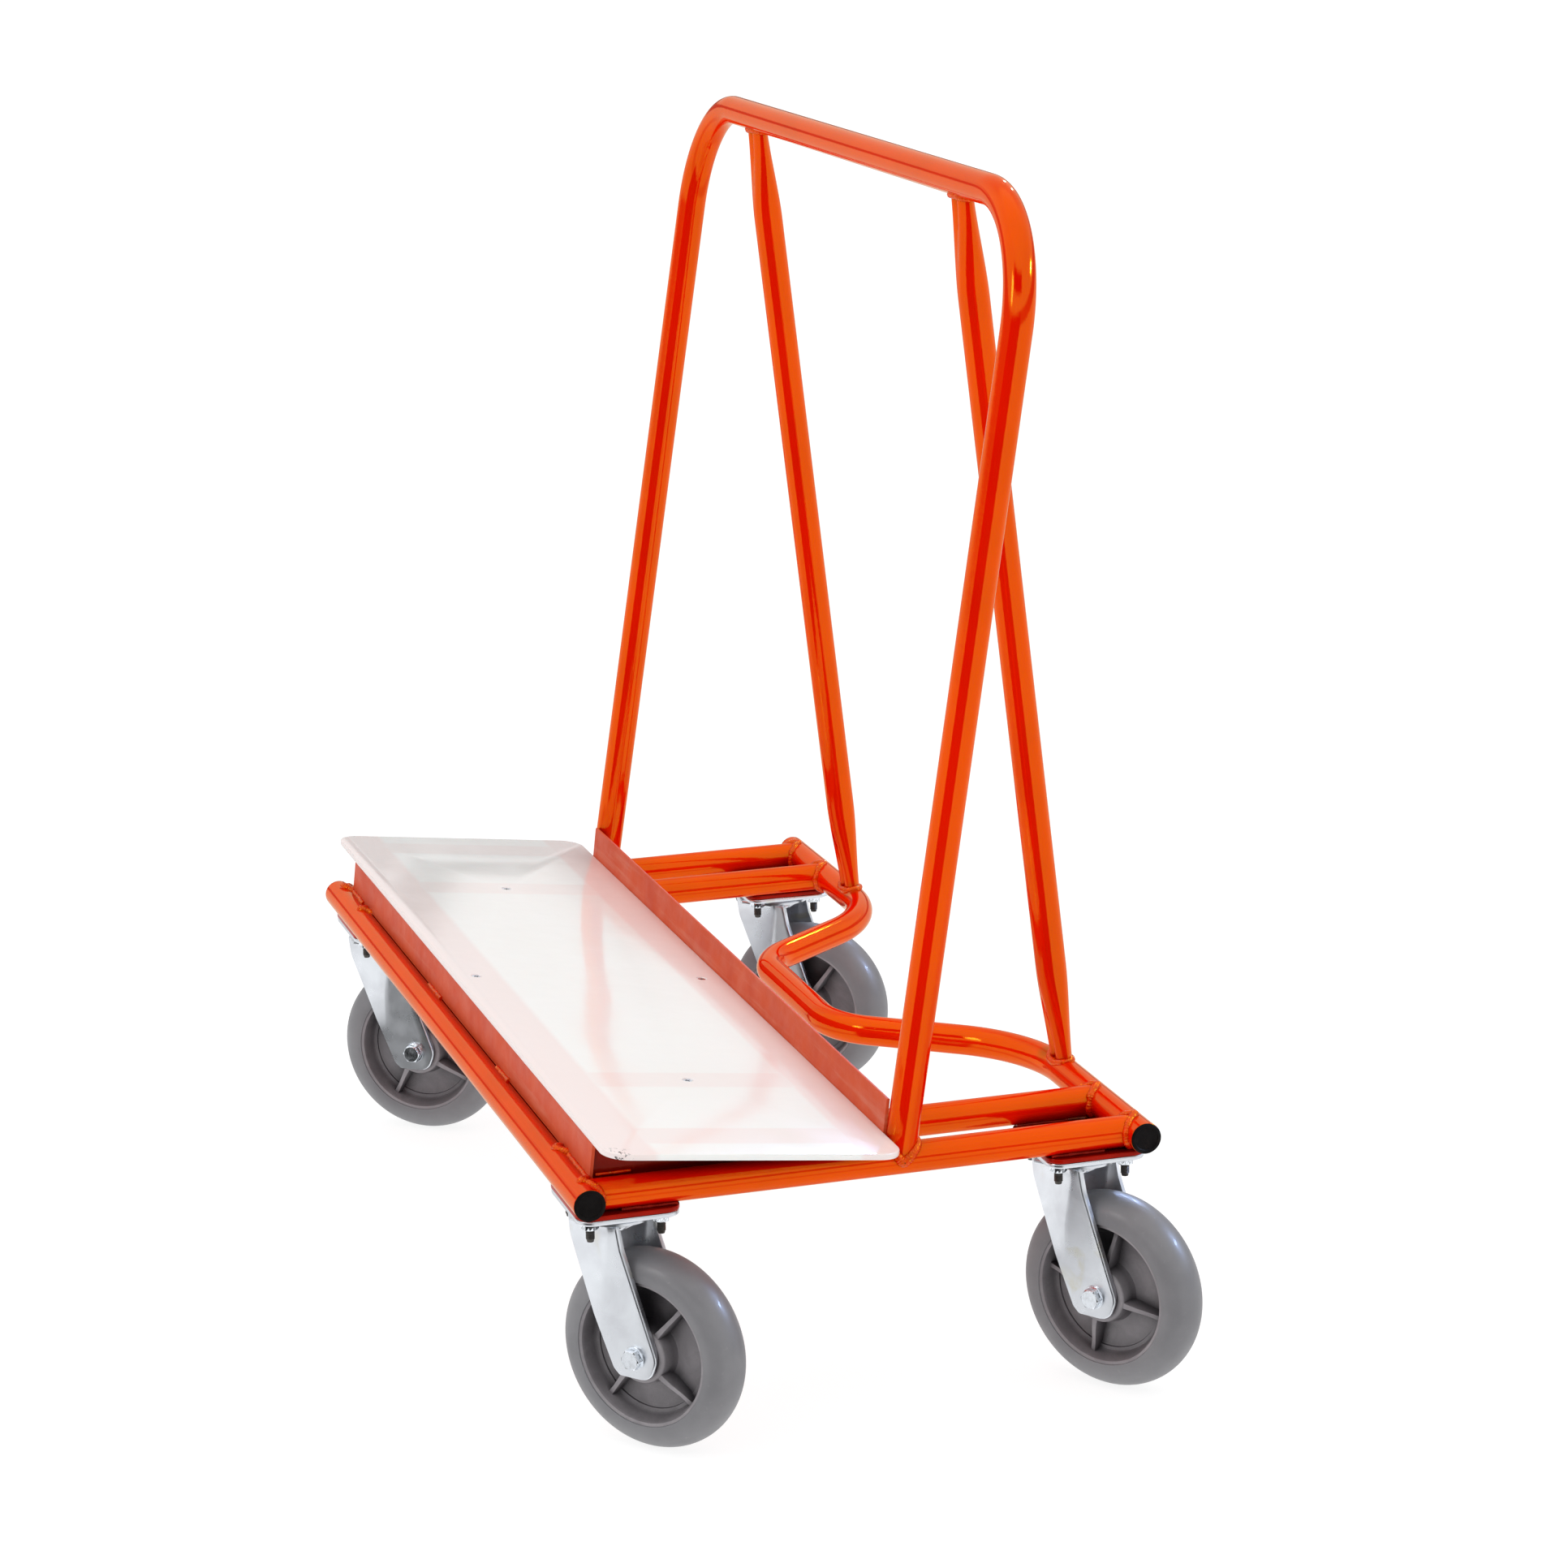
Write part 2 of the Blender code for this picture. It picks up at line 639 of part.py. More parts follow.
def kingpin(name, place):
    head_top = CROWN_BOTTOM - GAP
    head_bottom = head_top - KINGPIN_HEAD_HEIGHT
    profile = [
        (0, TOP_PLATE_TOP - GAP),
        (KINGPIN_R, TOP_PLATE_TOP - GAP),
        (KINGPIN_R, head_top),
        (KINGPIN_HEAD_R, head_top),
        (KINGPIN_HEAD_R, head_bottom + 0.002),
        (KINGPIN_HEAD_R - 0.002, head_bottom),
        (0, head_bottom),
    ]
    add(f"kingpin_{name}", turned_mesh(profile, 12), STEEL, place)


def leg_outline():
    """A fork leg seen from the side, in X along the trail and Z up, tapering from the crown to the axle."""
    axle = WHEEL_R
    corners = [
        (-0.031, CROWN_TOP - 0.001),
        (-0.029, axle + 0.108),
        (-0.0035, axle + 0.036),
        (TRAIL - 0.025, axle - 0.0145),
        (TRAIL - 0.018, axle - 0.0215),
        (TRAIL + 0.022, axle - 0.0215),
        (TRAIL + 0.026, axle),
        (0.032, axle + 0.106),
        (0.027, CROWN_TOP - 0.001),
    ]
    return rounded(corners, (0, 0.03, 0.05, 0.004, 0.004, 0.010, 0.015, 0.02, 0), steps=3)


def fork(name, swivel):
    crown_outline = rounded_rectangle(0.058, 2 * FORK_OUTER_Y, 0.012, 3)
    place = Matrix.Translation((-0.002, 0, (CROWN_TOP + CROWN_BOTTOM) / 2))
    piece = add(f"fork_{name}", outline_mesh(crown_outline, CROWN_THICKNESS), ZINC, place, swivel)
    leg = outline_mesh(leg_outline(), FORK_THICKNESS)
    for side in (-1, 1):
        offset = Matrix.Translation((0, side * (FORK_INNER_Y + FORK_THICKNESS / 2), 0)) @ UPRIGHT
        boolean(piece, add_cutter(leg.copy(), offset, swivel), "UNION")
    bore = cylinder_mesh(KINGPIN_R + GAP, CROWN_BOTTOM - 0.01, CROWN_TOP + 0.01, 12)
    boolean(piece, add_cutter(bore, None, swivel))
    axle = cylinder_mesh(AXLE_R + GAP, -0.06, 0.06, 12)
    boolean(piece, add_cutter(axle, Matrix.Translation((TRAIL, 0, WHEEL_R)) @ UPRIGHT, swivel))


def axle_parts(name, swivel):
    """The bolt through the fork and its nut, and the sleeve that the hub turns on."""
    centre = Matrix.Translation((TRAIL, 0, WHEEL_R)) @ UPRIGHT
    face = FORK_OUTER_Y + GAP
    end = face + HEX_HEIGHT + 0.005
    bolt = add(f"axle_bolt_{name}", cylinder_mesh(AXLE_R, -end, face + 0.001, 12), STEEL, centre, swivel)
    head = cylinder_mesh(HEX_R, face, face + HEX_HEIGHT, 6)
    boolean(bolt, add_cutter(head, centre, swivel), "UNION")
    nut = add(f"axle_nut_{name}", cylinder_mesh(HEX_R, -face - HEX_HEIGHT, -face, 6), STEEL, centre, swivel)
    thread = cylinder_mesh(AXLE_R + GAP, -face - 0.02, -face + 0.01, 12)
    boolean(nut, add_cutter(thread, centre, swivel))
    half = FORK_INNER_Y - GAP
    bore = AXLE_R + GAP
    profile = [(SLEEVE_R, half), (SLEEVE_R, -half), (bore, -half), (bore, half)]
    add(f"axle_sleeve_{name}", turned_mesh(profile, 12), STEEL, centre, swivel)


def tyre_profile(steps=10):
    """A rounded tread on a flat bore, run from the top side down the outside."""
    flats_to_corners = 1 / math.cos(math.pi / WHEEL_SIDES)
    centre = WHEEL_R * flats_to_corners - TREAD_R
    drop = math.asin((centre - TYRE_BORE_R) / TREAD_R)
    sweep = math.pi / 2 + drop
    angles = [sweep - 2 * sweep * i / steps for i in range(steps + 1)]
    return [(centre + TREAD_R * math.cos(a), TREAD_R * math.sin(a)) for a in angles]


def hub_profile():
    rim_outer = TYRE_BORE_R - GAP
    rim_inner = rim_outer - RIM_THICKNESS
    half = [
        (HUB_BORE_R, BOSS_HALF_WIDTH),
        (BOSS_R - 0.003, BOSS_HALF_WIDTH),
        (BOSS_R, BOSS_HALF_WIDTH - 0.003),
        (BOSS_R + 0.002, HUB_WEB_HALF),
        (rim_inner - 0.003, HUB_WEB_HALF),
        (rim_inner, RIM_HALF_WIDTH),
        (rim_outer, RIM_HALF_WIDTH),
    ]
    return half + [(r, -z) for r, z in reversed(half)]


def wheel(name, spin):
    axle = UPRIGHT @ Matrix.Rotation(math.pi / WHEEL_SIDES, 4, "Z")
    add(f"tyre_{name}", turned_mesh(tyre_profile(), WHEEL_SIDES), TYRE_RUBBER, axle, spin)
    hub = add(f"hub_{name}", turned_mesh(hub_profile(), WHEEL_SIDES), HUB_PLASTIC, axle, spin)
    low = (BOSS_R - 0.002, -RIB_HALF_THICKNESS, -RIB_HALF_WIDTH)
    high = (TYRE_BORE_R - RIM_THICKNESS / 2, RIB_HALF_THICKNESS, RIB_HALF_WIDTH)
    for i in range(RIB_COUNT):
        turn = Matrix.Rotation(2 * math.pi * i / RIB_COUNT, 4, "Z")
        boolean(hub, add_cutter(box_mesh(low, high), axle @ turn, spin), "UNION")


def caster(name, side_x, side_y, heading):
    place = Matrix.Translation((side_x * CASTER_X, side_y * CASTER_Y, 0))
    mounting_plate(name, place)
    top_plate(name, place)
    kingpin(name, place)
    swivel = empty(f"swivel_axis_{name}", place.translation, ROOT, math.radians(heading))
    fork(name, swivel)
    axle_parts(name, swivel)
    wheel(name, empty(f"wheel_axis_{name}", (TRAIL, 0, WHEEL_R), swivel))


base_frame()
hoop()
rear_struts()
deck_sheet()
deck_screws()
front_angle()
rear_angle()
deck_bearers()
end_plates()
end_caps()
for caster_row in CASTERS:
    caster(*caster_row)
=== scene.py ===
"""Looks of the panel cart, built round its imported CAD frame.

Lengths are in metres. Shapes are made in cart space, where X = 0 is the middle of the frame and Y = 0 lies
midway between the rails, and are moved to the row frame when they become objects.
"""

import json
import math
import random

import bmesh
import bpy
from mathutils import Matrix, Vector, noise


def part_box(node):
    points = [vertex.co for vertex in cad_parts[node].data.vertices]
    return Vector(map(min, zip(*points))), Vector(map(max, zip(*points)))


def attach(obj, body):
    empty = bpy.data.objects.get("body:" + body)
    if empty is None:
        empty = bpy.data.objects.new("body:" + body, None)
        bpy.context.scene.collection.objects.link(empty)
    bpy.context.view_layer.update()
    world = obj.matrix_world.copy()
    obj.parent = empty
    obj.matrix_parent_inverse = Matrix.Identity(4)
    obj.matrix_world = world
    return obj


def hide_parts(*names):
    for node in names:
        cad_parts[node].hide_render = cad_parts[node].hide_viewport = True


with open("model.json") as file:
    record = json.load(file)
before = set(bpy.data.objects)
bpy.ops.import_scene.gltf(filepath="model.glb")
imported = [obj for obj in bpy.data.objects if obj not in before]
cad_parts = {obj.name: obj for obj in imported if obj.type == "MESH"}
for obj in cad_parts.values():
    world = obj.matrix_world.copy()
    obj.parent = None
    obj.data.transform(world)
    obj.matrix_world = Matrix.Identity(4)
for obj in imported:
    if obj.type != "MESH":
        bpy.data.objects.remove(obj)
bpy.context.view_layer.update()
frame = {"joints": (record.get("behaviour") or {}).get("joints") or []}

# Dimensions read from the CAD frame

RAIL_LOW, RAIL_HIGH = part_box("front_rail")
REAR_LOW, REAR_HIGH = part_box("rear_rail")
HOOP_LOW, HOOP_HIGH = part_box("hoop_handle")
DECK_LOW, DECK_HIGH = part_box("deck_sheet")
TUBE_R = (RAIL_HIGH.z - RAIL_LOW.z) / 2
BASE_Z = (RAIL_HIGH.z + RAIL_LOW.z) / 2
RAIL_SPACING = REAR_HIGH.y - RAIL_HIGH.y
FRONT_Y = -RAIL_SPACING / 2
REAR_Y = RAIL_SPACING / 2
ORIGIN = Vector(
    ((RAIL_LOW.x + RAIL_HIGH.x) / 2, (RAIL_LOW.y + RAIL_HIGH.y) / 2 - FRONT_Y, 0)
)
FRAME_LENGTH = RAIL_HIGH.x - RAIL_LOW.x
CROSS_OUTER_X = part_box("cross_rail_right_outer")[1].x - TUBE_R - ORIGIN.x
CROSS_INNER_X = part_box("cross_rail_right_inner")[1].x - TUBE_R - ORIGIN.x

# Dimensions that the boxes don't give, as in the CAD source

WALL = 0.0021
RECESS_DEPTH = 0.178
RECESS_TOP_X = 0.262
RECESS_FLOOR_X = 0.125
RECESS_OUTER_BEND = 0.165
RECESS_INNER_BEND = 0.085
HOOP_FOOT_Y = 0.036
HOOP_TOP_Y = 0.180
HOOP_RISE = HOOP_HIGH.z - TUBE_R - BASE_Z
HOOP_TOP_X = 0.538
HOOP_BEND = 0.122
STRUT_FOOT_X = 0.345
STRUT_TOP_X = 0.337
CRIMP_LENGTH = 0.11
CRIMP_HALF = 0.0100
CRIMP_VALLEY = 0.0056
BASE_WELD = 0.0041
HOOP_WELD = 0.0048
STRUT_WELD = 0.0034
TUBE_OVERLAP = 0.004
MOUTH_DEPTH = 0.024

DECK_LENGTH = DECK_HIGH.x - DECK_LOW.x
DECK_WIDTH = 0.300
DECK_THICKNESS = 0.00635
DECK_FRONT_Y = 0.0075 + FRONT_Y
DECK_FRONT_Z = BASE_Z + 0.0562
DECK_TILT = math.asin(0.0354 / DECK_WIDTH)
ANGLE_LEG = 0.0445
ANGLE_THICKNESS = 0.0032
FRONT_WEB_LEG = 0.0424
FRONT_SETBACK = 0.0075
FRONT_ANGLE_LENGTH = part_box("front_angle")[1].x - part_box("front_angle")[0].x
REAR_ANGLE_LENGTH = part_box("rear_angle")[1].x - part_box("rear_angle")[0].x
REAR_UPSTAND = 0.040
END_PLATE_X = 0.530
BEARER_X = 0.372
SCREWS = (
    ("right", BEARER_X, 0.150),
    ("left", -BEARER_X, 0.150),
    ("front", 0, 0.023),
    ("rear", 0, 0.276),
)

WHEEL_R = 0.1016
TREAD_R = 0.0254
FACET_SLACK = 0.0005  # the solid tyre is faceted, and this round one stays inside it
TYRE_BORE_R = 0.0738
TRAIL = 0.0434
PLATE_T = 0.005
PLATE_LENGTH = 0.120
PLATE_WIDTH = 0.104
STUD_X = 0.038
STUD_Y = 0.0355
GAP = 0.0003
MOUNTING_TOP = BASE_Z - TUBE_R - GAP
MOUNTING_BOTTOM = MOUNTING_TOP - PLATE_T
TOP_PLATE_TOP = MOUNTING_BOTTOM - GAP
TOP_PLATE_BOTTOM = TOP_PLATE_TOP - PLATE_T
RACEWAY_BOTTOM = TOP_PLATE_BOTTOM - 0.0095
CROWN_TOP = RACEWAY_BOTTOM - GAP
CROWN_BOTTOM = CROWN_TOP - 0.0055
FORK_FACE = 0.0345

CASTERS = ("front_right", "rear_right", "front_left", "rear_left")
# The hub's turn at rest, in degrees, which shows only in where its ribs lie
HUB_TURN = {"front_right": -40, "rear_right": -12, "front_left": -30, "rear_left": -34}

DECK_SPACE = Matrix.Translation((0, DECK_FRONT_Y, DECK_FRONT_Z)) @ Matrix.Rotation(-DECK_TILT, 4, "X")
UP = Vector((0, 0, 1))
SIDES = 40  # of a round tube
BOTH_SIDES = ((1, "right"), (-1, "left"))
WELD_SHARP = 60


# Colours, linear

ORANGE = (0.82, 0.010, 0.0006)
ORANGE_DEEP = (0.74, 0.005, 0.0004)
ORANGE_SHEEN = (1.0, 1.0, 0.25, 1)
COAT_TINT = (1.0, 0.66, 0.04, 1)
SALMON = (0.66, 0.086, 0.021)
SALMON_DEEP = (0.59, 0.066, 0.019)
# A darker copy of the orange coat, for the plates under the rails: painted shade
PLATE_ORANGE_IN_SHADE = (0.37, 0.008, 0.0015)
PLATE_SHEEN = (1.0, 0.30, 0.18, 1)
SHEET = (0.890, 0.895, 0.878)
SHEET_WARM = (0.880, 0.879, 0.855)
# Painted show-through of the salmon angles under the sheet
SHEET_SHOW_THROUGH = (0.875, 0.745, 0.722)
ZINC = (0.77, 0.80, 0.84)
ZINC_DARK = (0.67, 0.69, 0.73)
RUBBER = (0.178, 0.176, 0.187)
RUBBER_PALE = (0.212, 0.210, 0.221)
HUB = (0.230, 0.214, 0.228)
HUB_PALE = (0.300, 0.280, 0.295)


# Materials


class Graph:
    """A node tree under construction."""

    def __init__(self, tree):
        self.tree = tree

    def node(self, kind, **inputs):
        made = self.tree.nodes.new(kind)
        for socket, value in inputs.items():
            self.feed(made.inputs[socket.replace("_", " ")], value)
        return made

    def feed(self, socket, value):
        if isinstance(value, bpy.types.NodeSocket):
            self.tree.links.new(value, socket)
        else:
            socket.default_value = value

    def range(self, value, low, high, out_low=0.0, out_high=1.0):
        made = self.tree.nodes.new("ShaderNodeMapRange")
        made.interpolation_type = "SMOOTHSTEP"
        for socket, number in zip(made.inputs[:5], (value, low, high, out_low, out_high)):
            self.feed(socket, number)
        return made.outputs["Result"]

    def math(self, operation, first, second=0.0):
        made = self.tree.nodes.new("ShaderNodeMath")
        made.operation = operation
        self.feed(made.inputs[0], first)
        self.feed(made.inputs[1], second)
        return made.outputs[0]


class Paint(Graph):
    """A node material whose pattern sits in object space, so it rides with the piece."""

    def __init__(self, name, colour, roughness, metallic=0.0, **sockets):
        self.material = bpy.data.materials.new(name)
        self.material.use_nodes = True
        super().__init__(self.material.node_tree)
        self.shader = self.tree.nodes["Principled BSDF"]
        self.coords = self.tree.nodes.new("ShaderNodeTexCoord").outputs["Object"]
        self.shader.inputs["Base Color"].default_value = (*colour, 1)
        self.shader.inputs["Roughness"].default_value = roughness
        self.shader.inputs["Metallic"].default_value = metallic
        for socket, value in sockets.items():
            self.shader.inputs[socket.replace("_", " ")].default_value = value
        self.height = None

    def mapped(self, rotation=(0, 0, 0), scale=(1, 1, 1), location=(0, 0, 0), kind="POINT"):
        made = self.tree.nodes.new("ShaderNodeMapping")
        made.vector_type = kind
        self.feed(made.inputs["Vector"], self.coords)
        made.inputs["Rotation"].default_value = rotation
        made.inputs["Scale"].default_value = scale
        made.inputs["Location"].default_value = location
        return made.outputs["Vector"]

    def noise(self, scale, detail=3.0, roughness=0.5, distortion=0.0, vector=None):
        made = self.node(
            "ShaderNodeTexNoise",
            Vector=vector or self.coords,
            Scale=scale,
            Detail=detail,
            Roughness=roughness,
            Distortion=distortion,
        )
        return made.outputs["Fac"]

    def mix(self, factor, first, second):
        made = self.tree.nodes.new("ShaderNodeMix")
        made.data_type = "RGBA"
        self.feed(made.inputs["Factor"], factor)
        for socket, value in ((made.inputs[6], first), (made.inputs[7], second)):
            self.feed(socket, value if isinstance(value, bpy.types.NodeSocket) else (*value, 1))
        return made.outputs[2]

    def stain(self, under, mask, amount, tint):
        """The colour under it, tinted by up to an amount where the mask is 1."""
        return self.mix(self.math("MULTIPLY", mask, amount), under, tint)

    def near(self, centre, inner, outer):
        """1 inside a ball round centre, in cart space, falling to 0 at its outer radius."""
        made = self.tree.nodes.new("ShaderNodeVectorMath")
        made.operation = "DISTANCE"
        self.feed(made.inputs[0], self.coords)
        made.inputs[1].default_value = Vector(centre) + ORIGIN
        return self.range(made.outputs["Value"], inner, outer, 1.0, 0.0)

    def shaded(self, value, reach, dark, low=0.45, high=0.85):
        """Painted shade: the colour darkened towards a dark one where surfaces meet, by ambient occlusion."""
        made = self.tree.nodes.new("ShaderNodeAmbientOcclusion")
        made.samples = 8
        made.inputs["Distance"].default_value = reach
        return self.mix(self.range(made.outputs["AO"], low, high), dark, value)

    def colour(self, value):
        self.feed(self.shader.inputs["Base Color"], value)

    def rough(self, value):
        self.feed(self.shader.inputs["Roughness"], value)

    def bump(self, height, strength, distance):
        made = self.node("ShaderNodeBump", Height=height, Strength=strength, Distance=distance)
        if self.height is not None:
            self.feed(made.inputs["Normal"], self.height)
        self.height = made.outputs["Normal"]
        self.feed(self.shader.inputs["Normal"], self.height)


def tube_paint():
    """Glossy orange powder coat with orange peel, faint clouding and a few dull scuffs."""
    p = Paint(
        "orange_powder_coat", ORANGE, 0.1, IOR=1.95, Specular_Tint=ORANGE_SHEEN,
        Coat_Weight=1.0, Coat_Roughness=0.04, Coat_IOR=1.13, Coat_Tint=COAT_TINT,
    )
    cloud = p.noise(9, 4, 0.6)
    colour = p.mix(p.range(cloud, 0.35, 0.7), ORANGE, ORANGE_DEEP)
    scuff_noise = p.noise(34, 8, 0.72, 0.4, p.mapped(scale=(1, 1, 0.35)))
    scuff = p.range(scuff_noise, 0.69, 0.76)
    colour = p.stain(colour, scuff, 0.45, (0.36, 0.05, 0.018))
    for side in (1, -1):
        foot = p.near((side * (STRUT_FOOT_X - 0.024), REAR_Y - 0.006, BASE_Z + 0.013), 0.004, 0.017)
        colour = p.stain(colour, foot, 0.55, (0.22, 0.07, 0.03))
    # Painted shade: the coat darkened to deep red where surfaces meet
    p.colour(p.shaded(colour, 0.03, (0.42, 0.002, 0.0003)))
    smudge = p.range(p.noise(18, 5, 0.6), 0.3, 0.75, 0.035, 0.10)
    p.rough(p.math("ADD", smudge, p.math("MULTIPLY", scuff, 0.22)))
    p.bump(p.noise(620, 2, 0.5), 0.10, 0.0004)
    p.bump(p.noise(95, 3, 0.55), 0.10, 0.0009)
    return p.material


def weld_paint():
    """The same coat, thicker and glossier, pooled over rough beads."""
    p = Paint(
        "orange_over_weld", ORANGE, 0.15, IOR=1.9, Specular_Tint=ORANGE_SHEEN,
        Coat_Weight=1.0, Coat_Roughness=0.03, Coat_IOR=1.22, Coat_Tint=COAT_TINT,
    )
    colour = p.mix(p.range(p.noise(120, 4, 0.6), 0.35, 0.7), ORANGE, (0.62, 0.010, 0.001))
    # Painted highlights: pale specks on the beads in place of glints
    painted_glint_specks = p.range(p.noise(330, 2, 0.5), 0.66, 0.70)
    p.colour(p.stain(colour, painted_glint_specks, 0.8, (0.95, 0.50, 0.30)))
    p.rough(p.range(p.noise(200, 3), 0.3, 0.7, 0.14, 0.3))
    p.bump(p.noise(300, 3, 0.6), 0.8, 0.0016)
    return p.material


def angle_paint():
    """Flat salmon coat on hot-rolled angle: chalky, with mill streaks and rubbed patches."""
    p = Paint("salmon_flat_coat", SALMON, 0.55, IOR=1.33, Coat_Weight=0.05, Coat_Roughness=0.35)
    cloud = p.range(p.noise(14, 6, 0.62), 0.3, 0.72)
    colour = p.mix(cloud, SALMON, SALMON_DEEP)
    streaks = p.range(p.noise(60, 5, 0.6, 0, p.mapped(scale=(0.06, 1, 1))), 0.52, 0.72)
    colour = p.stain(colour, streaks, 0.3, (0.72, 0.30, 0.20))
    grime = p.range(p.noise(42, 8, 0.7, 0.3), 0.66, 0.76)
    p.colour(p.stain(colour, grime, 0.5, (0.30, 0.07, 0.04)))
    p.rough(p.range(p.noise(30, 5, 0.6), 0.25, 0.75, 0.42, 0.66))
    p.bump(p.noise(520, 3, 0.6), 0.22, 0.0006)
    p.bump(p.noise(45, 4, 0.5, 0, p.mapped(scale=(0.12, 1, 1))), 0.12, 0.0012)
    return p.material


def plate_paint_in_shade():
    """The orange coat of the flat plates under the rails, painted as a dark red-orange copy for the shade
    they lie in, and darker still where surfaces meet.
    """
    p = Paint(
        "plate_coat_painted_shade", PLATE_ORANGE_IN_SHADE, 0.2, IOR=1.5, Specular_Tint=PLATE_SHEEN,
        Coat_Weight=0.6, Coat_Roughness=0.04, Coat_IOR=1.14, Coat_Tint=PLATE_SHEEN,
    )
    colour = p.mix(p.range(p.noise(40, 5, 0.6), 0.3, 0.7), PLATE_ORANGE_IN_SHADE, (0.27, 0.005, 0.001))
    p.colour(p.shaded(colour, 0.05, (0.12, 0.001, 0.0003)))
    p.rough(p.range(p.noise(60, 4, 0.6), 0.3, 0.7, 0.12, 0.30))
    p.bump(p.noise(500, 3), 0.12, 0.0005)
    p.bump(p.noise(60, 3), 0.25, 0.002)
    return p.material


def sheet_plastic():
    """Milky polyethylene, marked by feet and tools, with painted show-through: pink bands where the legs of
    the angles lie under it.
    """
    p = Paint(
        "milky_sheet", SHEET, 0.24, IOR=1.5, Subsurface_Weight=0.12, Subsurface_Scale=0.004,
        Subsurface_Radius=(1.0, 0.7, 0.6), Coat_Weight=0.12, Coat_Roughness=0.06,
    )
    # Into the deck's own space: X along, Y back along the slope
    place = Matrix.Translation(ORIGIN) @ DECK_SPACE
    local = p.mapped(place.to_euler(), location=place.translation, kind="TEXTURE")
    split = p.node("ShaderNodeSeparateXYZ", Vector=local)
    along, across = split.outputs["X"], split.outputs["Y"]
    across = p.math("ADD", across, p.math("MULTIPLY", p.noise(16, 3), 0.002))
    # Painted show-through: pink bands along the front and rear angles and over the end plates and bearers
    front = p.range(across, 0.047, 0.056, 1.0, 0.0)
    rear = p.range(across, DECK_WIDTH - 0.048, DECK_WIDTH - 0.040)
    crosswise = []
    for middle, amount in ((END_PLATE_X + ANGLE_LEG / 2, 0.7), (BEARER_X, 0.6)):
        distance = p.math("ABSOLUTE", p.math("SUBTRACT", p.math("ABSOLUTE", along), middle))
        crosswise.append(p.range(distance, 0.020, 0.027, amount, 0.0))
    tint = p.math("MAXIMUM", p.math("MAXIMUM", front, rear), p.math("MAXIMUM", *crosswise))
    cloud = p.range(p.noise(5, 3, 0.5), 0.3, 0.7)
    base = p.mix(cloud, SHEET, SHEET_WARM)
    colour = p.stain(base, tint, 0.8, SHEET_SHOW_THROUGH)
    marks = p.range(p.noise(26, 9, 0.75, 0.6), 0.72, 0.80)
    colour = p.stain(colour, marks, 0.12, (0.55, 0.50, 0.47))
    corner = DECK_SPACE @ Vector((DECK_LENGTH / 2 - 0.006, 0.012, DECK_THICKNESS / 2))
    speck = p.range(p.noise(300, 4, 0.6, 0, p.mapped(scale=(0.5, 1, 1))), 0.56, 0.62)
    scratched = p.math("MULTIPLY", speck, p.near(corner, 0.004, 0.020))
    colour = p.stain(colour, scratched, 0.9, (0.05, 0.05, 0.05))
    p.colour(colour)
    wear = p.range(p.noise(11, 5, 0.6), 0.3, 0.7, 0.10, 0.18)
    p.rough(p.math("ADD", wear, p.math("MULTIPLY", marks, 0.2)))
    scratches = p.noise(90, 6, 0.7, 0, p.mapped(rotation=(0, 0, 0.5), scale=(0.08, 1, 1)))
    p.bump(scratches, 0.05, 0.0006)
    p.bump(p.noise(30, 2), 0.06, 0.003)
    return p.material


def zinc_plate():
    """Bright zinc: bluish, with faint clouds, drawing lines, small pits and a few yellow stains."""
    p = Paint("bright_zinc", ZINC, 0.32, 1.0)
    cloud = p.range(p.noise(26, 4, 0.55, 0.4), 0.3, 0.75)
    colour = p.mix(cloud, ZINC, ZINC_DARK)
    stain = p.range(p.noise(24, 4, 0.5, 0.5), 0.60, 0.74)
    colour = p.stain(colour, stain, 0.5, (0.60, 0.56, 0.38))
    streaks = p.range(p.noise(190, 6, 0.7, 0, p.mapped(scale=(1, 1, 0.06))), 0.5, 0.75)
    colour = p.stain(colour, streaks, 0.25, (0.72, 0.75, 0.80))
    pits = p.range(p.noise(120, 8, 0.75, 0.6), 0.70, 0.76)
    colour = p.stain(colour, pits, 0.5, (0.30, 0.30, 0.31))
    p.colour(colour)
    p.rough(p.range(p.noise(40, 5, 0.6), 0.3, 0.75, 0.26, 0.36))
    p.bump(p.noise(300, 5, 0.7, 0, p.mapped(scale=(1, 1, 0.1))), 0.05, 0.0004)
    p.bump(p.noise(18, 2), 0.05, 0.002)
    return p.material


def bolt_steel():
    """Zinc-plated fasteners."""
    p = Paint("plated_fastener", (0.78, 0.82, 0.87), 0.2, 1.0)
    p.colour(p.mix(p.range(p.noise(210, 4, 0.6), 0.4, 0.75), (0.80, 0.84, 0.89), (0.66, 0.69, 0.73)))
    p.rough(p.range(p.noise(160, 4, 0.6), 0.3, 0.7, 0.10, 0.20))
    p.bump(p.noise(300, 3), 0.04, 0.0004)
    return p.material


def thread_steel():
    """Dark oiled thread."""
    p = Paint("dark_thread", (0.05, 0.047, 0.045), 0.42, 0.8)
    p.colour(p.mix(p.noise(300, 4), (0.035, 0.032, 0.03), (0.11, 0.10, 0.09)))
    p.rough(p.range(p.noise(400, 3), 0.3, 0.7, 0.3, 0.55))
    return p.material


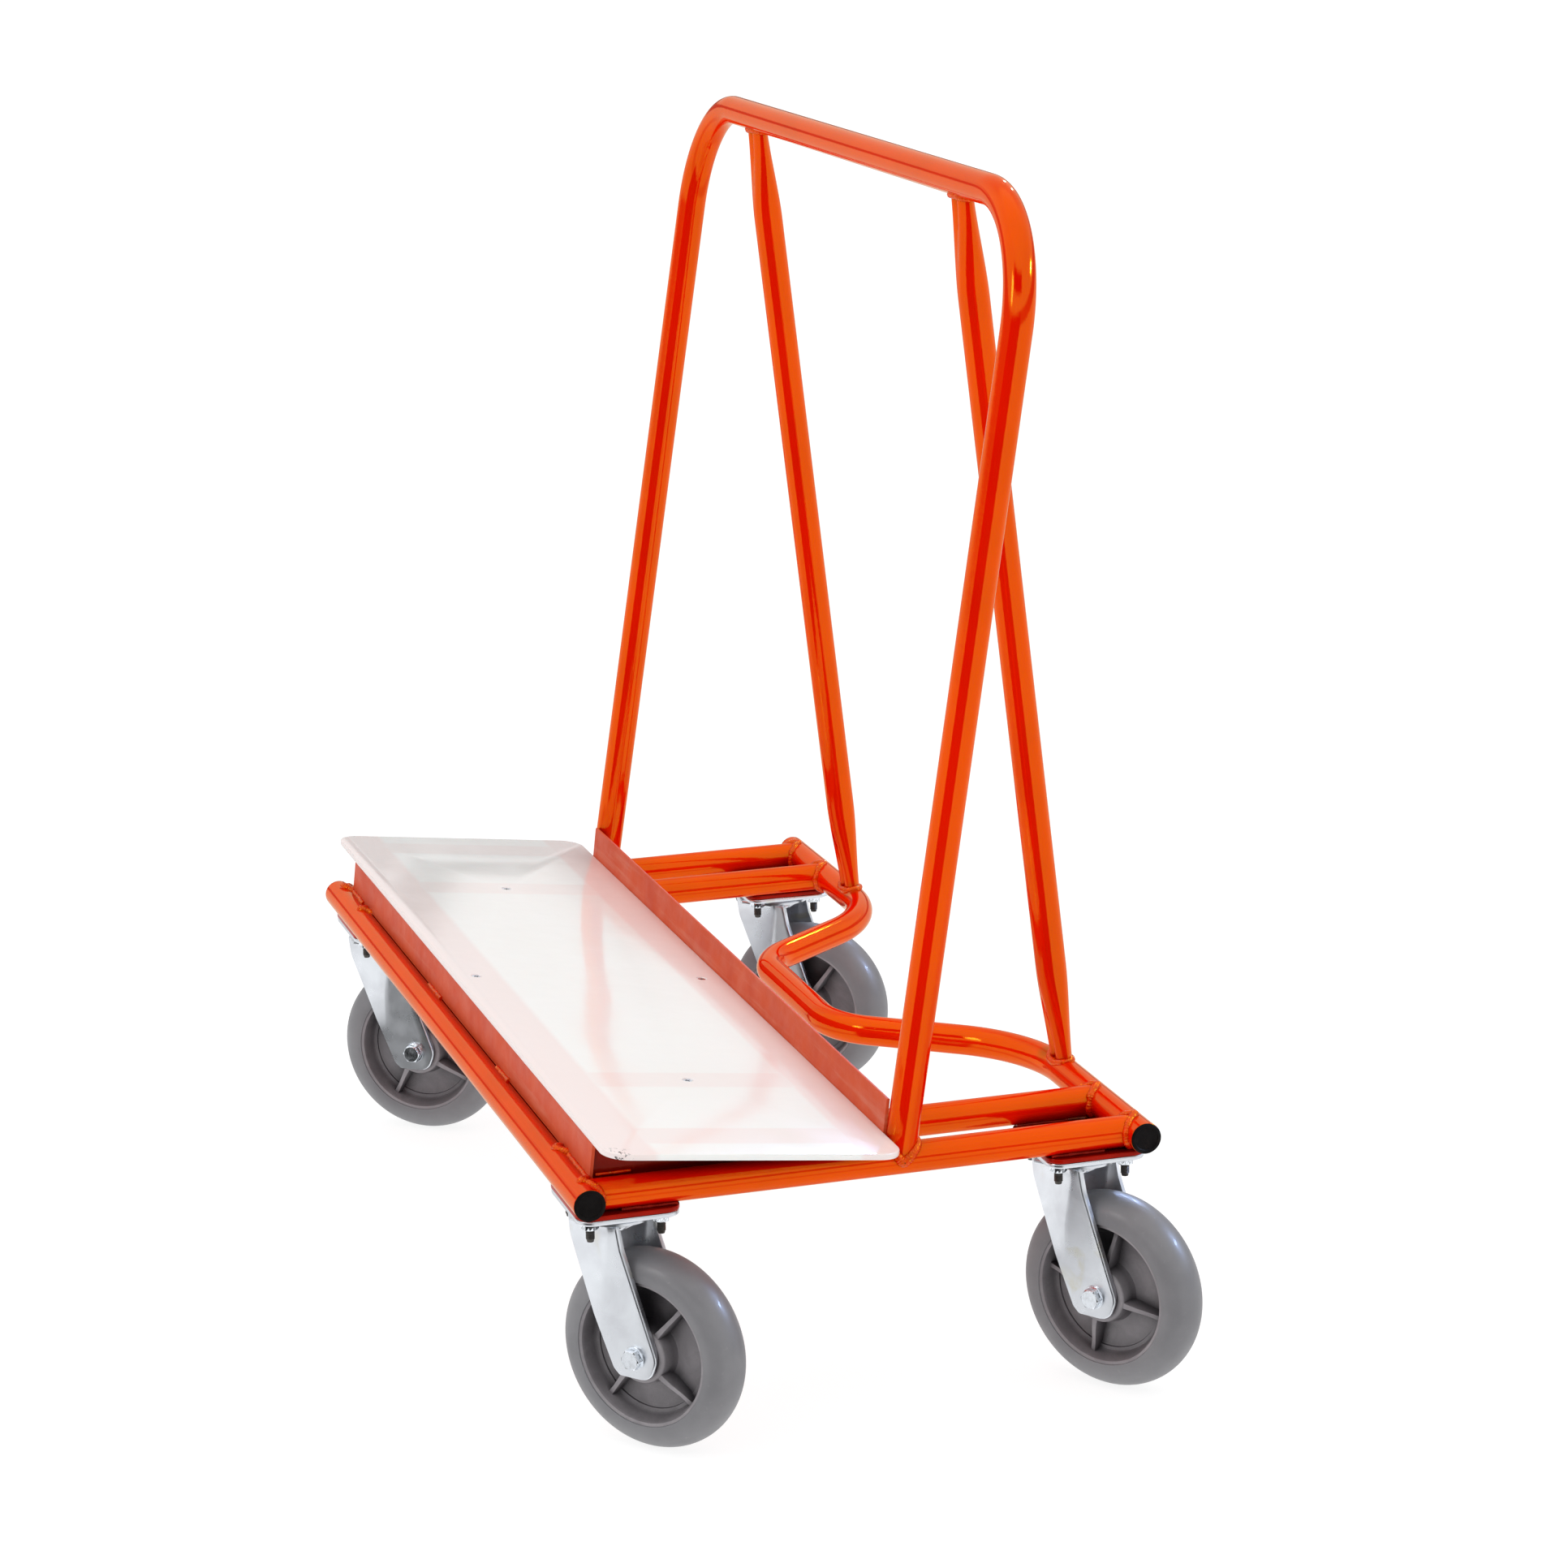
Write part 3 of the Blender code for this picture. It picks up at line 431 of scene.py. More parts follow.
def tyre_rubber():
    """Smooth grey moulded rubber with dust in its pores and a slightly polished tread."""
    p = Paint("grey_tyre_rubber", RUBBER, 0.5, IOR=1.48, Coat_Weight=0.12, Coat_Roughness=0.14)
    cloud = p.range(p.noise(16, 5, 0.6), 0.3, 0.72)
    colour = p.mix(cloud, RUBBER, RUBBER_PALE)
    dust = p.range(p.noise(150, 7, 0.75), 0.60, 0.72)
    colour = p.stain(colour, dust, 0.35, (0.33, 0.32, 0.32))
    dark = p.range(p.noise(60, 8, 0.75, 0.5), 0.68, 0.76)
    p.colour(p.stain(colour, dark, 0.4, (0.08, 0.075, 0.075)))
    p.rough(p.range(p.noise(28, 5, 0.6), 0.3, 0.75, 0.36, 0.54))
    p.bump(p.noise(700, 3, 0.6), 0.10, 0.0004)
    p.bump(p.noise(70, 4, 0.6), 0.08, 0.0010)
    return p.material


def hub_nylon():
    """Dark grey moulded nylon, a little brown, with flow marks."""
    p = Paint("grey_hub_nylon", HUB, 0.42, IOR=1.5)
    cloud = p.range(p.noise(30, 5, 0.6, 0.8), 0.3, 0.72)
    colour = p.mix(cloud, HUB, HUB_PALE)
    dust = p.range(p.noise(110, 7, 0.7), 0.58, 0.74)
    colour = p.stain(colour, dust, 0.3, (0.26, 0.24, 0.235))
    # Painted shade: the nylon darkened almost to black in the recesses and where surfaces meet
    p.colour(p.shaded(colour, 0.06, (0.012, 0.010, 0.013), 0.20, 0.92))
    p.rough(p.range(p.noise(45, 5, 0.6), 0.3, 0.75, 0.32, 0.52))
    p.bump(p.noise(480, 4, 0.6), 0.16, 0.0005)
    return p.material


def cap_plastic():
    """Black plugs, dusty at the face."""
    p = Paint("black_plug", (0.002, 0.001, 0.001), 0.6, IOR=1.22)
    dust = p.range(p.noise(130, 6, 0.7), 0.5, 0.75)
    p.colour(p.stain((0.002, 0.001, 0.001), dust, 0.6, (0.016, 0.008, 0.005)))
    p.rough(p.range(p.noise(90, 4), 0.3, 0.7, 0.45, 0.7))
    p.bump(p.noise(420, 4, 0.7), 0.3, 0.0006)
    return p.material


PAINT = {
    "tube": (tube_paint(), "tube_paint"),
    "weld": (weld_paint(), "tube_paint"),
    "angle": (angle_paint(), "angle_paint"),
    # The plate finish is a darker copy of the orange coat: painted shade
    "plate": (plate_paint_in_shade(), "tube_paint"),
    "sheet": (sheet_plastic(), "sheet"),
    "zinc": (zinc_plate(), "zinc"),
    "bolt": (bolt_steel(), "steel"),
    "thread": (thread_steel(), "steel"),
    "tyre": (tyre_rubber(), "tyre"),
    "hub": (hub_nylon(), "hub"),
    "cap": (cap_plastic(), "cap"),
}


# Mesh tools


def solid_mesh(name, shape, matrix):
    """A closed mesh from (vertices, faces), placed by a matrix."""
    made = bmesh.new()
    verts = [made.verts.new(vert) for vert in shape[0]]
    for face in shape[1]:
        made.faces.new([verts[i] for i in face])
    bmesh.ops.remove_doubles(made, verts=made.verts, dist=1e-7)
    bmesh.ops.recalc_face_normals(made, faces=made.faces)
    mesh = bpy.data.meshes.new(name)
    made.to_mesh(mesh)
    made.free()
    mesh.transform(matrix)
    return mesh


def piece(name, shape, finish, body="frame", stands_for=(), matrix=None, sharp=38, bevel=0.0):
    """A finished piece from (vertices, faces), in cart space unless a matrix places it."""
    mesh = solid_mesh(name, shape, Matrix.Translation(ORIGIN) @ (matrix or Matrix.Identity(4)))
    mesh.shade_smooth()
    mesh.set_sharp_from_angle(angle=math.radians(sharp))
    material, slot = PAINT[finish]
    mesh.materials.append(material)
    obj = bpy.data.objects.new(name, mesh)
    bpy.context.scene.collection.objects.link(obj)
    if bevel:
        rounded_edges = obj.modifiers.new("rounded_edges", "BEVEL")
        rounded_edges.width = bevel
        rounded_edges.segments = 3
        rounded_edges.limit_method = "ANGLE"
        rounded_edges.angle_limit = math.radians(sharp)
        rounded_edges.harden_normals = True
    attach(obj, body)
    if stands_for:
        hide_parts(*stands_for)
    return obj


def join(*shapes):
    """Several (vertices, faces) as one."""
    verts, faces = [], []
    for shape_verts, shape_faces in shapes:
        start = len(verts)
        verts += list(shape_verts)
        faces += [tuple(i + start for i in face) for face in shape_faces]
    return verts, faces


def moved(shape, matrix):
    return [matrix @ Vector(v) for v in shape[0]], shape[1]


def loft(rings, closed=False, capped=True):
    """A skin through rings of equal length, with flat ends."""
    count = len(rings[0])
    verts = [Vector(v) for ring in rings for v in ring]
    faces = []
    spans = len(rings) if closed else len(rings) - 1
    for i in range(spans):
        a, b = i * count, (i + 1) % len(rings) * count
        for k in range(count):
            following = (k + 1) % count
            faces.append((a + k, a + following, b + following, b + k))
    if capped and not closed:
        last = (len(rings) - 1) * count
        faces.append(tuple(reversed(range(count))))
        faces.append(tuple(range(last, last + count)))
    return verts, faces


def turned(profile, steps=48):
    """A closed (radius, height) profile turned about Z. Points on the axis close it."""
    rings = []
    for i in range(steps):
        angle = 2 * math.pi * i / steps
        rings.append([Vector((r * math.cos(angle), r * math.sin(angle), z)) for r, z in profile])
    return loft(rings, closed=True)


def disc(first, last, steps):
    """A round solid between two (radius, height) edges."""
    return turned([(0, first[1]), first, last, (0, last[1])], steps)


def prism(outline, low, high):
    """A flat outline in XY made solid from low to high."""
    return loft([[Vector((p[0], p[1], z)) for p in outline] for z in (low, high)])


def rounded(points, radii, steps=6, closed=True):
    """The line of points with each corner made an arc of its own radius."""
    result = []
    count = len(points)
    for i, (corner, radius) in enumerate(zip(points, radii)):
        corner = Vector(corner)
        if not radius or (not closed and i in (0, count - 1)):
            result.append(corner)
            continue
        back = (Vector(points[i - 1]) - corner).normalized()
        ahead = (Vector(points[(i + 1) % count]) - corner).normalized()
        half = back.angle(ahead) / 2
        centre = corner + (back + ahead).normalized() * (radius / math.sin(half))
        start = corner + back * (radius / math.tan(half)) - centre
        end = corner + ahead * (radius / math.tan(half)) - centre
        sweep = start.angle(end)
        for step in range(steps + 1):
            t = step / steps
            mix = start * math.sin((1 - t) * sweep) + end * math.sin(t * sweep)
            result.append(centre + mix / math.sin(sweep))
    return result


def rounded_rectangle(length, width, radius, steps=6):
    corners = [Vector((x * length / 2, y * width / 2)) for x, y in ((-1, -1), (1, -1), (1, 1), (-1, 1))]
    return rounded(corners, [radius] * 4, steps)


def dished(outline, low, high, edge):
    """A plate with softened edges: the outline shrinks by edge at both faces."""
    centre = sum((Vector(p) for p in outline), Vector((0, 0))) / len(outline)
    rings = []
    for z, inset in ((low, edge), (low + edge * 0.3, edge * 0.3), (low + edge, 0), (high - edge, 0),
                     (high - edge * 0.3, edge * 0.3), (high, edge)):
        ring = []
        for p in outline:
            away = Vector(p) - centre
            inward = Vector((math.copysign(min(inset, abs(away.x)), away.x),
                             math.copysign(min(inset, abs(away.y)), away.y)))
            ring.append(Vector((p[0] - inward.x, p[1] - inward.y, z)))
        rings.append(ring)
    return loft(rings)


def carried_frames(points, closed=False):
    """(point, side, up) along a line, with the frame carried without twist."""
    count = len(points)
    result = []
    side = None
    for i, point in enumerate(points):
        before = points[i - 1] if i or closed else point
        after = points[(i + 1) % count] if i < count - 1 or closed else point
        tangent = (after - before).normalized()
        if side is None:
            reference = UP if abs(tangent.z) < 0.9 else Vector((1, 0, 0))
            side = tangent.cross(reference).normalized()
        side = (side - tangent * side.dot(tangent)).normalized()
        result.append((point, side, tangent.cross(side)))
    return result


def circle(centre, side, up, a, b=None, sides=SIDES):
    b = a if b is None else b
    angles = [2 * math.pi * k / sides for k in range(sides)]
    return [centre + side * (a * math.cos(t)) + up * (b * math.sin(t)) for t in angles]


def tube_shape(route, radius=TUBE_R, open_ends=True):
    """A round tube along a route. Open ends show the wall's thickness and a little of the inside."""
    stations = carried_frames(route)
    rings = [circle(p, s, u, radius) for p, s, u in stations]
    if not open_ends:
        return loft(rings)
    mouths = []
    for (point, s, u), inward in ((stations[0], route[1] - route[0]), (stations[-1], route[-2] - route[-1])):
        along = inward.normalized()
        lip = 0.0006
        mouths.append([
            circle(point + along * MOUTH_DEPTH, s, u, radius - WALL),
            circle(point + along * lip, s, u, radius - WALL),
            circle(point, s, u, radius - WALL + lip),
            circle(point, s, u, radius - lip),
            circle(point + along * lip, s, u, radius),
        ])
    first, last = mouths
    return loft(first + rings[1:-1] + list(reversed(last)))


def bead(points, radius, seed, closed=False, pitch=0.0024):
    """A weld bead along a line: overlapping ripples, uneven in height and path."""
    rng = random.Random(seed)
    line = resample(points, pitch / 3, closed)
    stations = carried_frames(line, closed)
    drift = Vector((rng.random(), rng.random(), rng.random())) * 50
    rings = []
    for i, (point, side, up) in enumerate(stations):
        ripple = abs(math.sin(math.pi * i / 3 + 0.4))
        swell = noise.noise(point * 140 + drift)
        size = radius * (0.86 + 0.20 * ripple + 0.32 * swell)
        wander = Vector((noise.noise(point * 90 + drift * 2), noise.noise(point * 90 + drift * 3),
                         noise.noise(point * 90 + drift * 4))) * radius * 0.25
        rings.append(circle(point + wander, side, up, size, sides=10))
    return loft(rings, closed)


def resample(points, spacing, closed=False):
    points = [Vector(p) for p in points]
    if closed:
        points.append(points[0])
    lengths = [(b - a).length for a, b in zip(points, points[1:])]
    total = sum(lengths)
    count = max(4, round(total / spacing))
    result, index, start = [], 0, 0.0
    for i in range(count + (0 if closed else 1)):
        want = total * i / count
        while index < len(lengths) - 1 and start + lengths[index] < want:
            start += lengths[index]
            index += 1
        t = (want - start) / max(lengths[index], 1e-9)
        result.append(points[index].lerp(points[index + 1], min(max(t, 0), 1)))
    return result


def cope_line(base, branch, main_point, main_axis, main_radius, a, b, side, up, steps=48):
    """Where a branch tube's surface meets a main tube, as a closed line."""
    line = []
    for k in range(steps):
        angle = 2 * math.pi * k / steps
        start = base + side * (a * math.cos(angle)) + up * (b * math.sin(angle))
        offset = start - main_point
        offset -= main_axis * offset.dot(main_axis)
        step = branch - main_axis * branch.dot(main_axis)
        qa, qb = step.dot(step), 2 * offset.dot(step)
        qc = offset.dot(offset) - main_radius**2
        root = max(qb * qb - 4 * qa * qc, 0)
        line.append(start + branch * ((-qb + math.sqrt(root)) / (2 * qa)))
    return line


def branch_weld(base, branch, main_axis, size, seed, a=TUBE_R, b=TUBE_R):
    branch = branch.normalized()
    side = branch.cross(main_axis).normalized()
    up = side.cross(branch).normalized()
    line = cope_line(base, branch, base, main_axis, TUBE_R, a, b, side, up)
    return bead(line, size, seed, closed=True)


# Tubes


def straight(start, end, count=12):
    start, end = Vector(start), Vector(end)
    return [start.lerp(end, i / (count - 1)) for i in range(count)]


def rear_rail_route():
    floor_y = REAR_Y - RECESS_DEPTH
    half = FRAME_LENGTH / 2
    left = [(-half, REAR_Y), (-RECESS_TOP_X, REAR_Y), (-RECESS_FLOOR_X, floor_y)]
    right = [(-x, y) for x, y in reversed(left)]
    corners = [Vector((x, y, BASE_Z)) for x, y in left + right]
    radii = (0, RECESS_OUTER_BEND, RECESS_INNER_BEND, RECESS_INNER_BEND, RECESS_OUTER_BEND, 0)
    route = rounded(corners, radii, steps=20, closed=False)
    start, end = route[0].lerp(route[1], 0.1), route[-1].lerp(route[-2], 0.1)
    return [route[0], start] + route[1:-1] + [end, route[-1]]


def hoop_route():
    corners = [
        Vector((-CROSS_OUTER_X, HOOP_FOOT_Y, BASE_Z)),
        Vector((-HOOP_TOP_X, HOOP_TOP_Y, BASE_Z + HOOP_RISE)),
        Vector((HOOP_TOP_X, HOOP_TOP_Y, BASE_Z + HOOP_RISE)),
        Vector((CROSS_OUTER_X, HOOP_FOOT_Y, BASE_Z)),
    ]
    return rounded(corners, (0, HOOP_BEND, HOOP_BEND, 0), steps=28, closed=False)


def base_tubes():
    half = FRAME_LENGTH / 2
    front = straight((-half, FRONT_Y, BASE_Z), (half, FRONT_Y, BASE_Z))
    piece("tube_front_rail", tube_shape(front), "tube", stands_for=["front_rail"])
    piece("tube_rear_rail", tube_shape(rear_rail_route()), "tube", stands_for=["rear_rail"])
    for side, side_name in BOTH_SIDES:
        for x, place in ((CROSS_OUTER_X, "outer"), (CROSS_INNER_X, "inner")):
            name = f"cross_rail_{side_name}_{place}"
            ends = [(side * x, y, BASE_Z) for y in (FRONT_Y + TUBE_OVERLAP, REAR_Y - TUBE_OVERLAP)]
            route = straight(*ends)
            piece(f"tube_{name}", tube_shape(route, open_ends=False), "tube", stands_for=[name])


def hoop():
    piece("tube_hoop", tube_shape(hoop_route(), open_ends=False), "tube", stands_for=["hoop_handle"])


def strut_shape(foot, top):
    """A tube squeezed at both ends, with a shallow valley pressed into each flat."""
    foot, top = Vector(foot), Vector(top)
    length = (top - foot).length
    axis = (top - foot).normalized()
    across = axis.cross(Vector((1, 0, 0))).normalized()
    wide = across.cross(axis).normalized()
    squeeze = [CRIMP_LENGTH * (i / 14) ** 0.9 for i in range(15)]
    distances = squeeze + [length - d for d in reversed(squeeze)]
    rings = []
    for distance in distances:
        t = min(min(distance, length - distance) / CRIMP_LENGTH, 1)
        ease = t * t * (3 - 2 * t)
        thin = CRIMP_HALF + (TUBE_R - CRIMP_HALF) * ease
        broad = math.sqrt(2 * TUBE_R**2 - thin**2)
        power = 1 + 0.35 * (1 - ease)
        ring = []
        for k in range(SIDES):
            angle = 2 * math.pi * k / SIDES
            c, s = math.cos(angle), math.sin(angle)
            flat = math.copysign(abs(s) ** power, s)
            valley = (1 - ease) * CRIMP_VALLEY * math.exp(-((c / 0.26) ** 2))
            height = (thin - valley) * flat
            ring.append(foot + axis * distance + wide * (broad * c) + across * height)
        rings.append(ring)
    return loft(rings)


def struts():
    for side, side_name in BOTH_SIDES:
        foot = (side * STRUT_FOOT_X, REAR_Y, BASE_Z + 0.006)
        top = (side * STRUT_TOP_X, HOOP_TOP_Y, BASE_Z + HOOP_RISE - 0.006)
        name = f"rear_strut_{side_name}"
        piece(f"tube_{name}", strut_shape(foot, top), "tube", stands_for=[name])


def tube_welds():
    """Beads round every place where a tube ends on another."""
    x_axis, y_axis = Vector((1, 0, 0)), Vector((0, 1, 0))
    seed = 1
    for side, side_name in BOTH_SIDES:
        shapes = []
        for x in (CROSS_OUTER_X, CROSS_INNER_X):
            for y, direction in ((FRONT_Y, y_axis), (REAR_Y, -y_axis)):
                base = Vector((side * x, y, BASE_Z))
                shapes.append(branch_weld(base, direction, x_axis, BASE_WELD, seed))
                seed += 1
        piece(f"weld_base_{side_name}", join(*shapes), "weld", sharp=WELD_SHARP)
        foot = Vector((side * CROSS_OUTER_X, HOOP_FOOT_Y, BASE_Z))
        lean = Vector((side * (HOOP_TOP_X - CROSS_OUTER_X), HOOP_TOP_Y - HOOP_FOOT_Y, HOOP_RISE))
        strut_foot = Vector((side * STRUT_FOOT_X, REAR_Y, BASE_Z))
        strut_top = Vector((side * STRUT_TOP_X, HOOP_TOP_Y, BASE_Z + HOOP_RISE))
        broad = math.sqrt(2 * TUBE_R**2 - CRIMP_HALF**2)
        rise = strut_top - strut_foot
        joints = [
            branch_weld(foot, lean, y_axis, HOOP_WELD, seed),
            branch_weld(strut_foot, rise, x_axis, STRUT_WELD, seed + 1, CRIMP_HALF, broad),
            branch_weld(strut_top, -rise, x_axis, STRUT_WELD, seed + 2, CRIMP_HALF, broad),
        ]
        seed += 3
        piece(f"weld_uprights_{side_name}", join(*joints), "weld", sharp=WELD_SHARP)


def end_caps():
    r, stem = TUBE_R - 0.0002, TUBE_R - WALL - 0.0002
    profile = [
        (0, 0.0006), (r - 0.0042, 0.0006), (r - 0.0034, 0.0013), (r - 0.0010, 0.0013),
        (r, 0.0006), (r, 0.0001), (stem, 0.0001), (stem, -0.018), (0, -0.018),
    ]
    shape = turned(profile, 48)
    for y, rail in ((FRONT_Y, "front"), (REAR_Y, "rear")):
        for side, side_name in BOTH_SIDES:
            name = f"end_cap_{rail}_{side_name}"
            place = Matrix.Translation((side * FRAME_LENGTH / 2, y, BASE_Z))
            place @= Matrix.Rotation(math.radians(90 * side), 4, "Y")
            piece(f"plug_{rail}_{side_name}", shape, "cap", stands_for=[name], matrix=place)


# Deck


def extruded(outline, length):
    """A (y, z) outline in the deck's space made solid along X."""
    rings = [[Vector((x, y, z)) for y, z in outline] for x in (-length / 2, length / 2)]
    verts, faces = loft(rings)
    return moved((verts, faces), DECK_SPACE)


def front_angle():
    y0, t = FRONT_SETBACK, ANGLE_THICKNESS
    corners = [
        (y0, -GAP - FRONT_WEB_LEG),
        (y0 + t, -GAP - FRONT_WEB_LEG),
        (y0 + t, -GAP - t),
        (y0 + ANGLE_LEG, -GAP - t),
        (y0 + ANGLE_LEG, -GAP),
        (y0, -GAP),
    ]
    outline = rounded([Vector(c) for c in corners], (0.0004, 0.0012, 0.003, 0.0012, 0.0004, 0.0008), 4)
    shape = extruded([(p.x, p.y) for p in outline], FRONT_ANGLE_LENGTH)
    piece("angle_front", shape, "angle", stands_for=["front_angle"])


def rear_angle():
    y1 = DECK_WIDTH + GAP
    y2 = y1 + ANGLE_THICKNESS
    corners = [
        (y2 - ANGLE_LEG, -GAP - ANGLE_THICKNESS),
        (y2, -GAP - ANGLE_THICKNESS),
        (y2, REAR_UPSTAND),
        (y1, REAR_UPSTAND),
        (y1, -GAP),
        (y2 - ANGLE_LEG, -GAP),
    ]
    outline = rounded([Vector(c) for c in corners], (0.0012, 0.0010, 0.0006, 0.0013, 0.0003, 0.0004), 4)
    shape = extruded([(p.x, p.y) for p in outline], REAR_ANGLE_LENGTH)
    piece("angle_rear", shape, "angle", stands_for=["rear_angle"])


def between_flanges():
    front = FRONT_SETBACK + ANGLE_LEG + GAP
    rear = DECK_WIDTH + GAP + ANGLE_THICKNESS - ANGLE_LEG - GAP
    return front, rear


def box(low, high):
    outline = [(low[0], low[1]), (high[0], low[1]), (high[0], high[1]), (low[0], high[1])]
    return prism(outline, low[2], high[2])


def bearers_and_end_plates():
    front, rear = between_flanges()
    for side, side_name in BOTH_SIDES:
        x0 = side * BEARER_X - ANGLE_LEG / 2
        flange = box((x0, front, -GAP - ANGLE_THICKNESS), (x0 + ANGLE_LEG, rear, -GAP))
        rib = box((x0, front, -0.022), (x0 + ANGLE_THICKNESS, rear, -GAP - 0.0004))
        shape = moved(join(flange, rib), DECK_SPACE)
        name = f"deck_bearer_{side_name}"
        piece(f"angle_bearer_{side_name}", shape, "angle", stands_for=[name], bevel=0.0006)

        x0 = END_PLATE_X if side > 0 else -END_PLATE_X - ANGLE_LEG
        flange = moved(box((x0, front, -GAP - ANGLE_THICKNESS), (x0 + ANGLE_LEG, rear, -GAP)), DECK_SPACE)
        web_back = FRONT_SETBACK + ANGLE_THICKNESS + GAP
        under = -2 * GAP - ANGLE_THICKNESS
        tops = [DECK_SPACE @ Vector((0, v, under + 0.0004)) for v in (web_back, rear + 0.012)]
        foot_z = BASE_Z + 0.009
        outline = [(p.y, p.z) for p in tops]
        outline += [(tops[1].y, foot_z), (tops[0].y - (tops[0].z - foot_z) * math.tan(DECK_TILT), foot_z)]
        wedge_x = side * (END_PLATE_X + ANGLE_THICKNESS / 2)
        rings = [
            [Vector((wedge_x + dx, y, z)) for y, z in outline]
            for dx in (-ANGLE_THICKNESS / 2, ANGLE_THICKNESS / 2)
        ]
        shape = join(flange, loft(rings))
        # End plate in the plate finish, darker for the shade under the deck: painted shade
        piece(f"plate_end_{side_name}", shape, "plate", stands_for=[f"end_plate_{side_name}"], bevel=0.0006)


def deck_sheet():
    """The sheet, with softened edges and a countersink for each screw."""
    outline = rounded_rectangle(DECK_LENGTH, DECK_WIDTH, 0.024, 12)
    shape = dished(outline, 0, DECK_THICKNESS, 0.0011)
    place = DECK_SPACE @ Matrix.Translation((0, DECK_WIDTH / 2, 0))
    sheet = piece("sheet_deck", shape, "sheet", stands_for=["deck_sheet"], matrix=place, sharp=50)
    top = DECK_THICKNESS
    profile = [(0, top - 0.0045), (0.0024, top - 0.0045), (0.0056, top - 0.0006)]
    profile += [(0.0062, top + 0.002), (0, top + 0.002)]
    for name, x, v in SCREWS:
        place = Matrix.Translation(ORIGIN) @ DECK_SPACE @ Matrix.Translation((x, v, 0))
        mesh = solid_mesh("sink", turned(profile, 32), place)
        cutter = bpy.data.objects.new(f"sink_{name}", mesh)
        bpy.context.scene.collection.objects.link(cutter)
        sink = sheet.modifiers.new(name, "BOOLEAN")
        sink.object = cutter
        sink.solver = "EXACT"
        bpy.context.view_layer.update()
        graph = bpy.context.evaluated_depsgraph_get()
        result = bpy.data.meshes.new_from_object(sheet.evaluated_get(graph))
        sheet.modifiers.clear()
        sheet.data = result
        bpy.data.objects.remove(cutter, do_unlink=True)
    sheet.data.set_sharp_from_angle(angle=math.radians(50))


def screws():
    """Countersunk heads, each with a flat dark cross laid on it as painted shade for a cross recess."""
    top = DECK_THICKNESS - 0.0006
    profile = [(0, top - 0.0015), (0.0011, top - 0.0015), (0.0014, top), (0.0045, top)]
    profile += [(0.0049, top - 0.0004), (0.0020, top - 0.0034), (0.0020, top - 0.0122), (0, top - 0.0126)]
    head = turned(profile, 28)
    for name, x, v in SCREWS:
        turn = math.radians(20 + 37 * len(name))
        # A flat dark cross on each head: painted shade of the cross recess
        recess_shade_arms = [
            moved(box((-0.0030, -0.0005, top - 0.0002), (0.0030, 0.0005, top + 0.0001)),
                  Matrix.Rotation(turn + quarter, 4, "Z"))
            for quarter in (0, math.pi / 2)
        ]
        place = DECK_SPACE @ Matrix.Translation((x, v, 0))
        piece(f"screw_{name}", head, "bolt", stands_for=[f"deck_screw_{name}"], matrix=place)
        piece(f"screw_recess_shade_{name}", join(*recess_shade_arms), "thread", matrix=place)


def deck_welds():
    """Stitch welds between the front web and the rail, and fillets at the ends of the angles."""
    web_foot = DECK_SPACE @ Vector((0, FRONT_SETBACK, -GAP - FRONT_WEB_LEG))
    stitches = []
    for i, (centre, length) in enumerate(((-0.505, 0.06), (-0.105, 0.055), (0.20, 0.05), (0.500, 0.07))):
        line = straight((centre - length / 2, web_foot.y - 0.0008, web_foot.z + 0.0003),
                        (centre + length / 2, web_foot.y - 0.0008, web_foot.z + 0.0003), 20)
        stitches.append(bead(line, 0.0030, 60 + i))
    piece("weld_stitches_front", join(*stitches), "weld", sharp=WELD_SHARP)
    reach = FRONT_ANGLE_LENGTH / 2 - 0.001
    seam = straight((-reach, web_foot.y + 0.0020, web_foot.z - 0.0002),
                    (reach, web_foot.y + 0.0020, web_foot.z - 0.0002), 12)
    # Seam along the web's foot in the plate finish, darker: painted shade
    piece("seam_front_web", tube_shape(seam, 0.0016, open_ends=False), "plate")
    shapes = []
    for side in (1, -1):
        x = side * (END_PLATE_X + ANGLE_THICKNESS)
        line = straight((x, FRONT_Y + 0.017, BASE_Z + TUBE_R), (x, FRONT_Y + 0.052, BASE_Z + TUBE_R), 12)
        shapes.append(bead(line, 0.0014, 80 + side))
        foot = DECK_SPACE @ Vector((side * REAR_ANGLE_LENGTH / 2, DECK_WIDTH - 0.03, -0.0036))
        line = straight(foot, foot + Vector((0, 0.034, -0.004)), 12)
        shapes.append(bead(line, 0.0024, 84 + side))
        behind = DECK_SPACE @ Vector((side * (CROSS_OUTER_X - 0.020), DECK_WIDTH + ANGLE_THICKNESS, 0.0))
        line = straight(behind, behind + Vector((0, 0.004, 0.034)), 12)
        shapes.append(bead(line, 0.0026, 88 + side))
    piece("weld_angle_ends", join(*shapes), "weld", sharp=WELD_SHARP)


# Casters


def hexagon(across_corners, low, high, chamfer=0.0012):
    """A hex head or nut with its corners turned down at both ends."""
    r = across_corners / 2
    rings = []
    for z, shrink in ((low, chamfer), (low + chamfer * 0.5, 0), (high - chamfer * 0.5, 0), (high, chamfer)):
        ring = []
        for k in range(24):
            angle = 2 * math.pi * k / 24
            flat = r * math.cos(math.pi / 6) / math.cos((angle % (math.pi / 3)) - math.pi / 6)
            ring_r = min(flat, r - shrink) if shrink else flat
            ring.append(Vector((ring_r * math.cos(angle), ring_r * math.sin(angle), z)))
        rings.append(ring)
    return loft(rings)


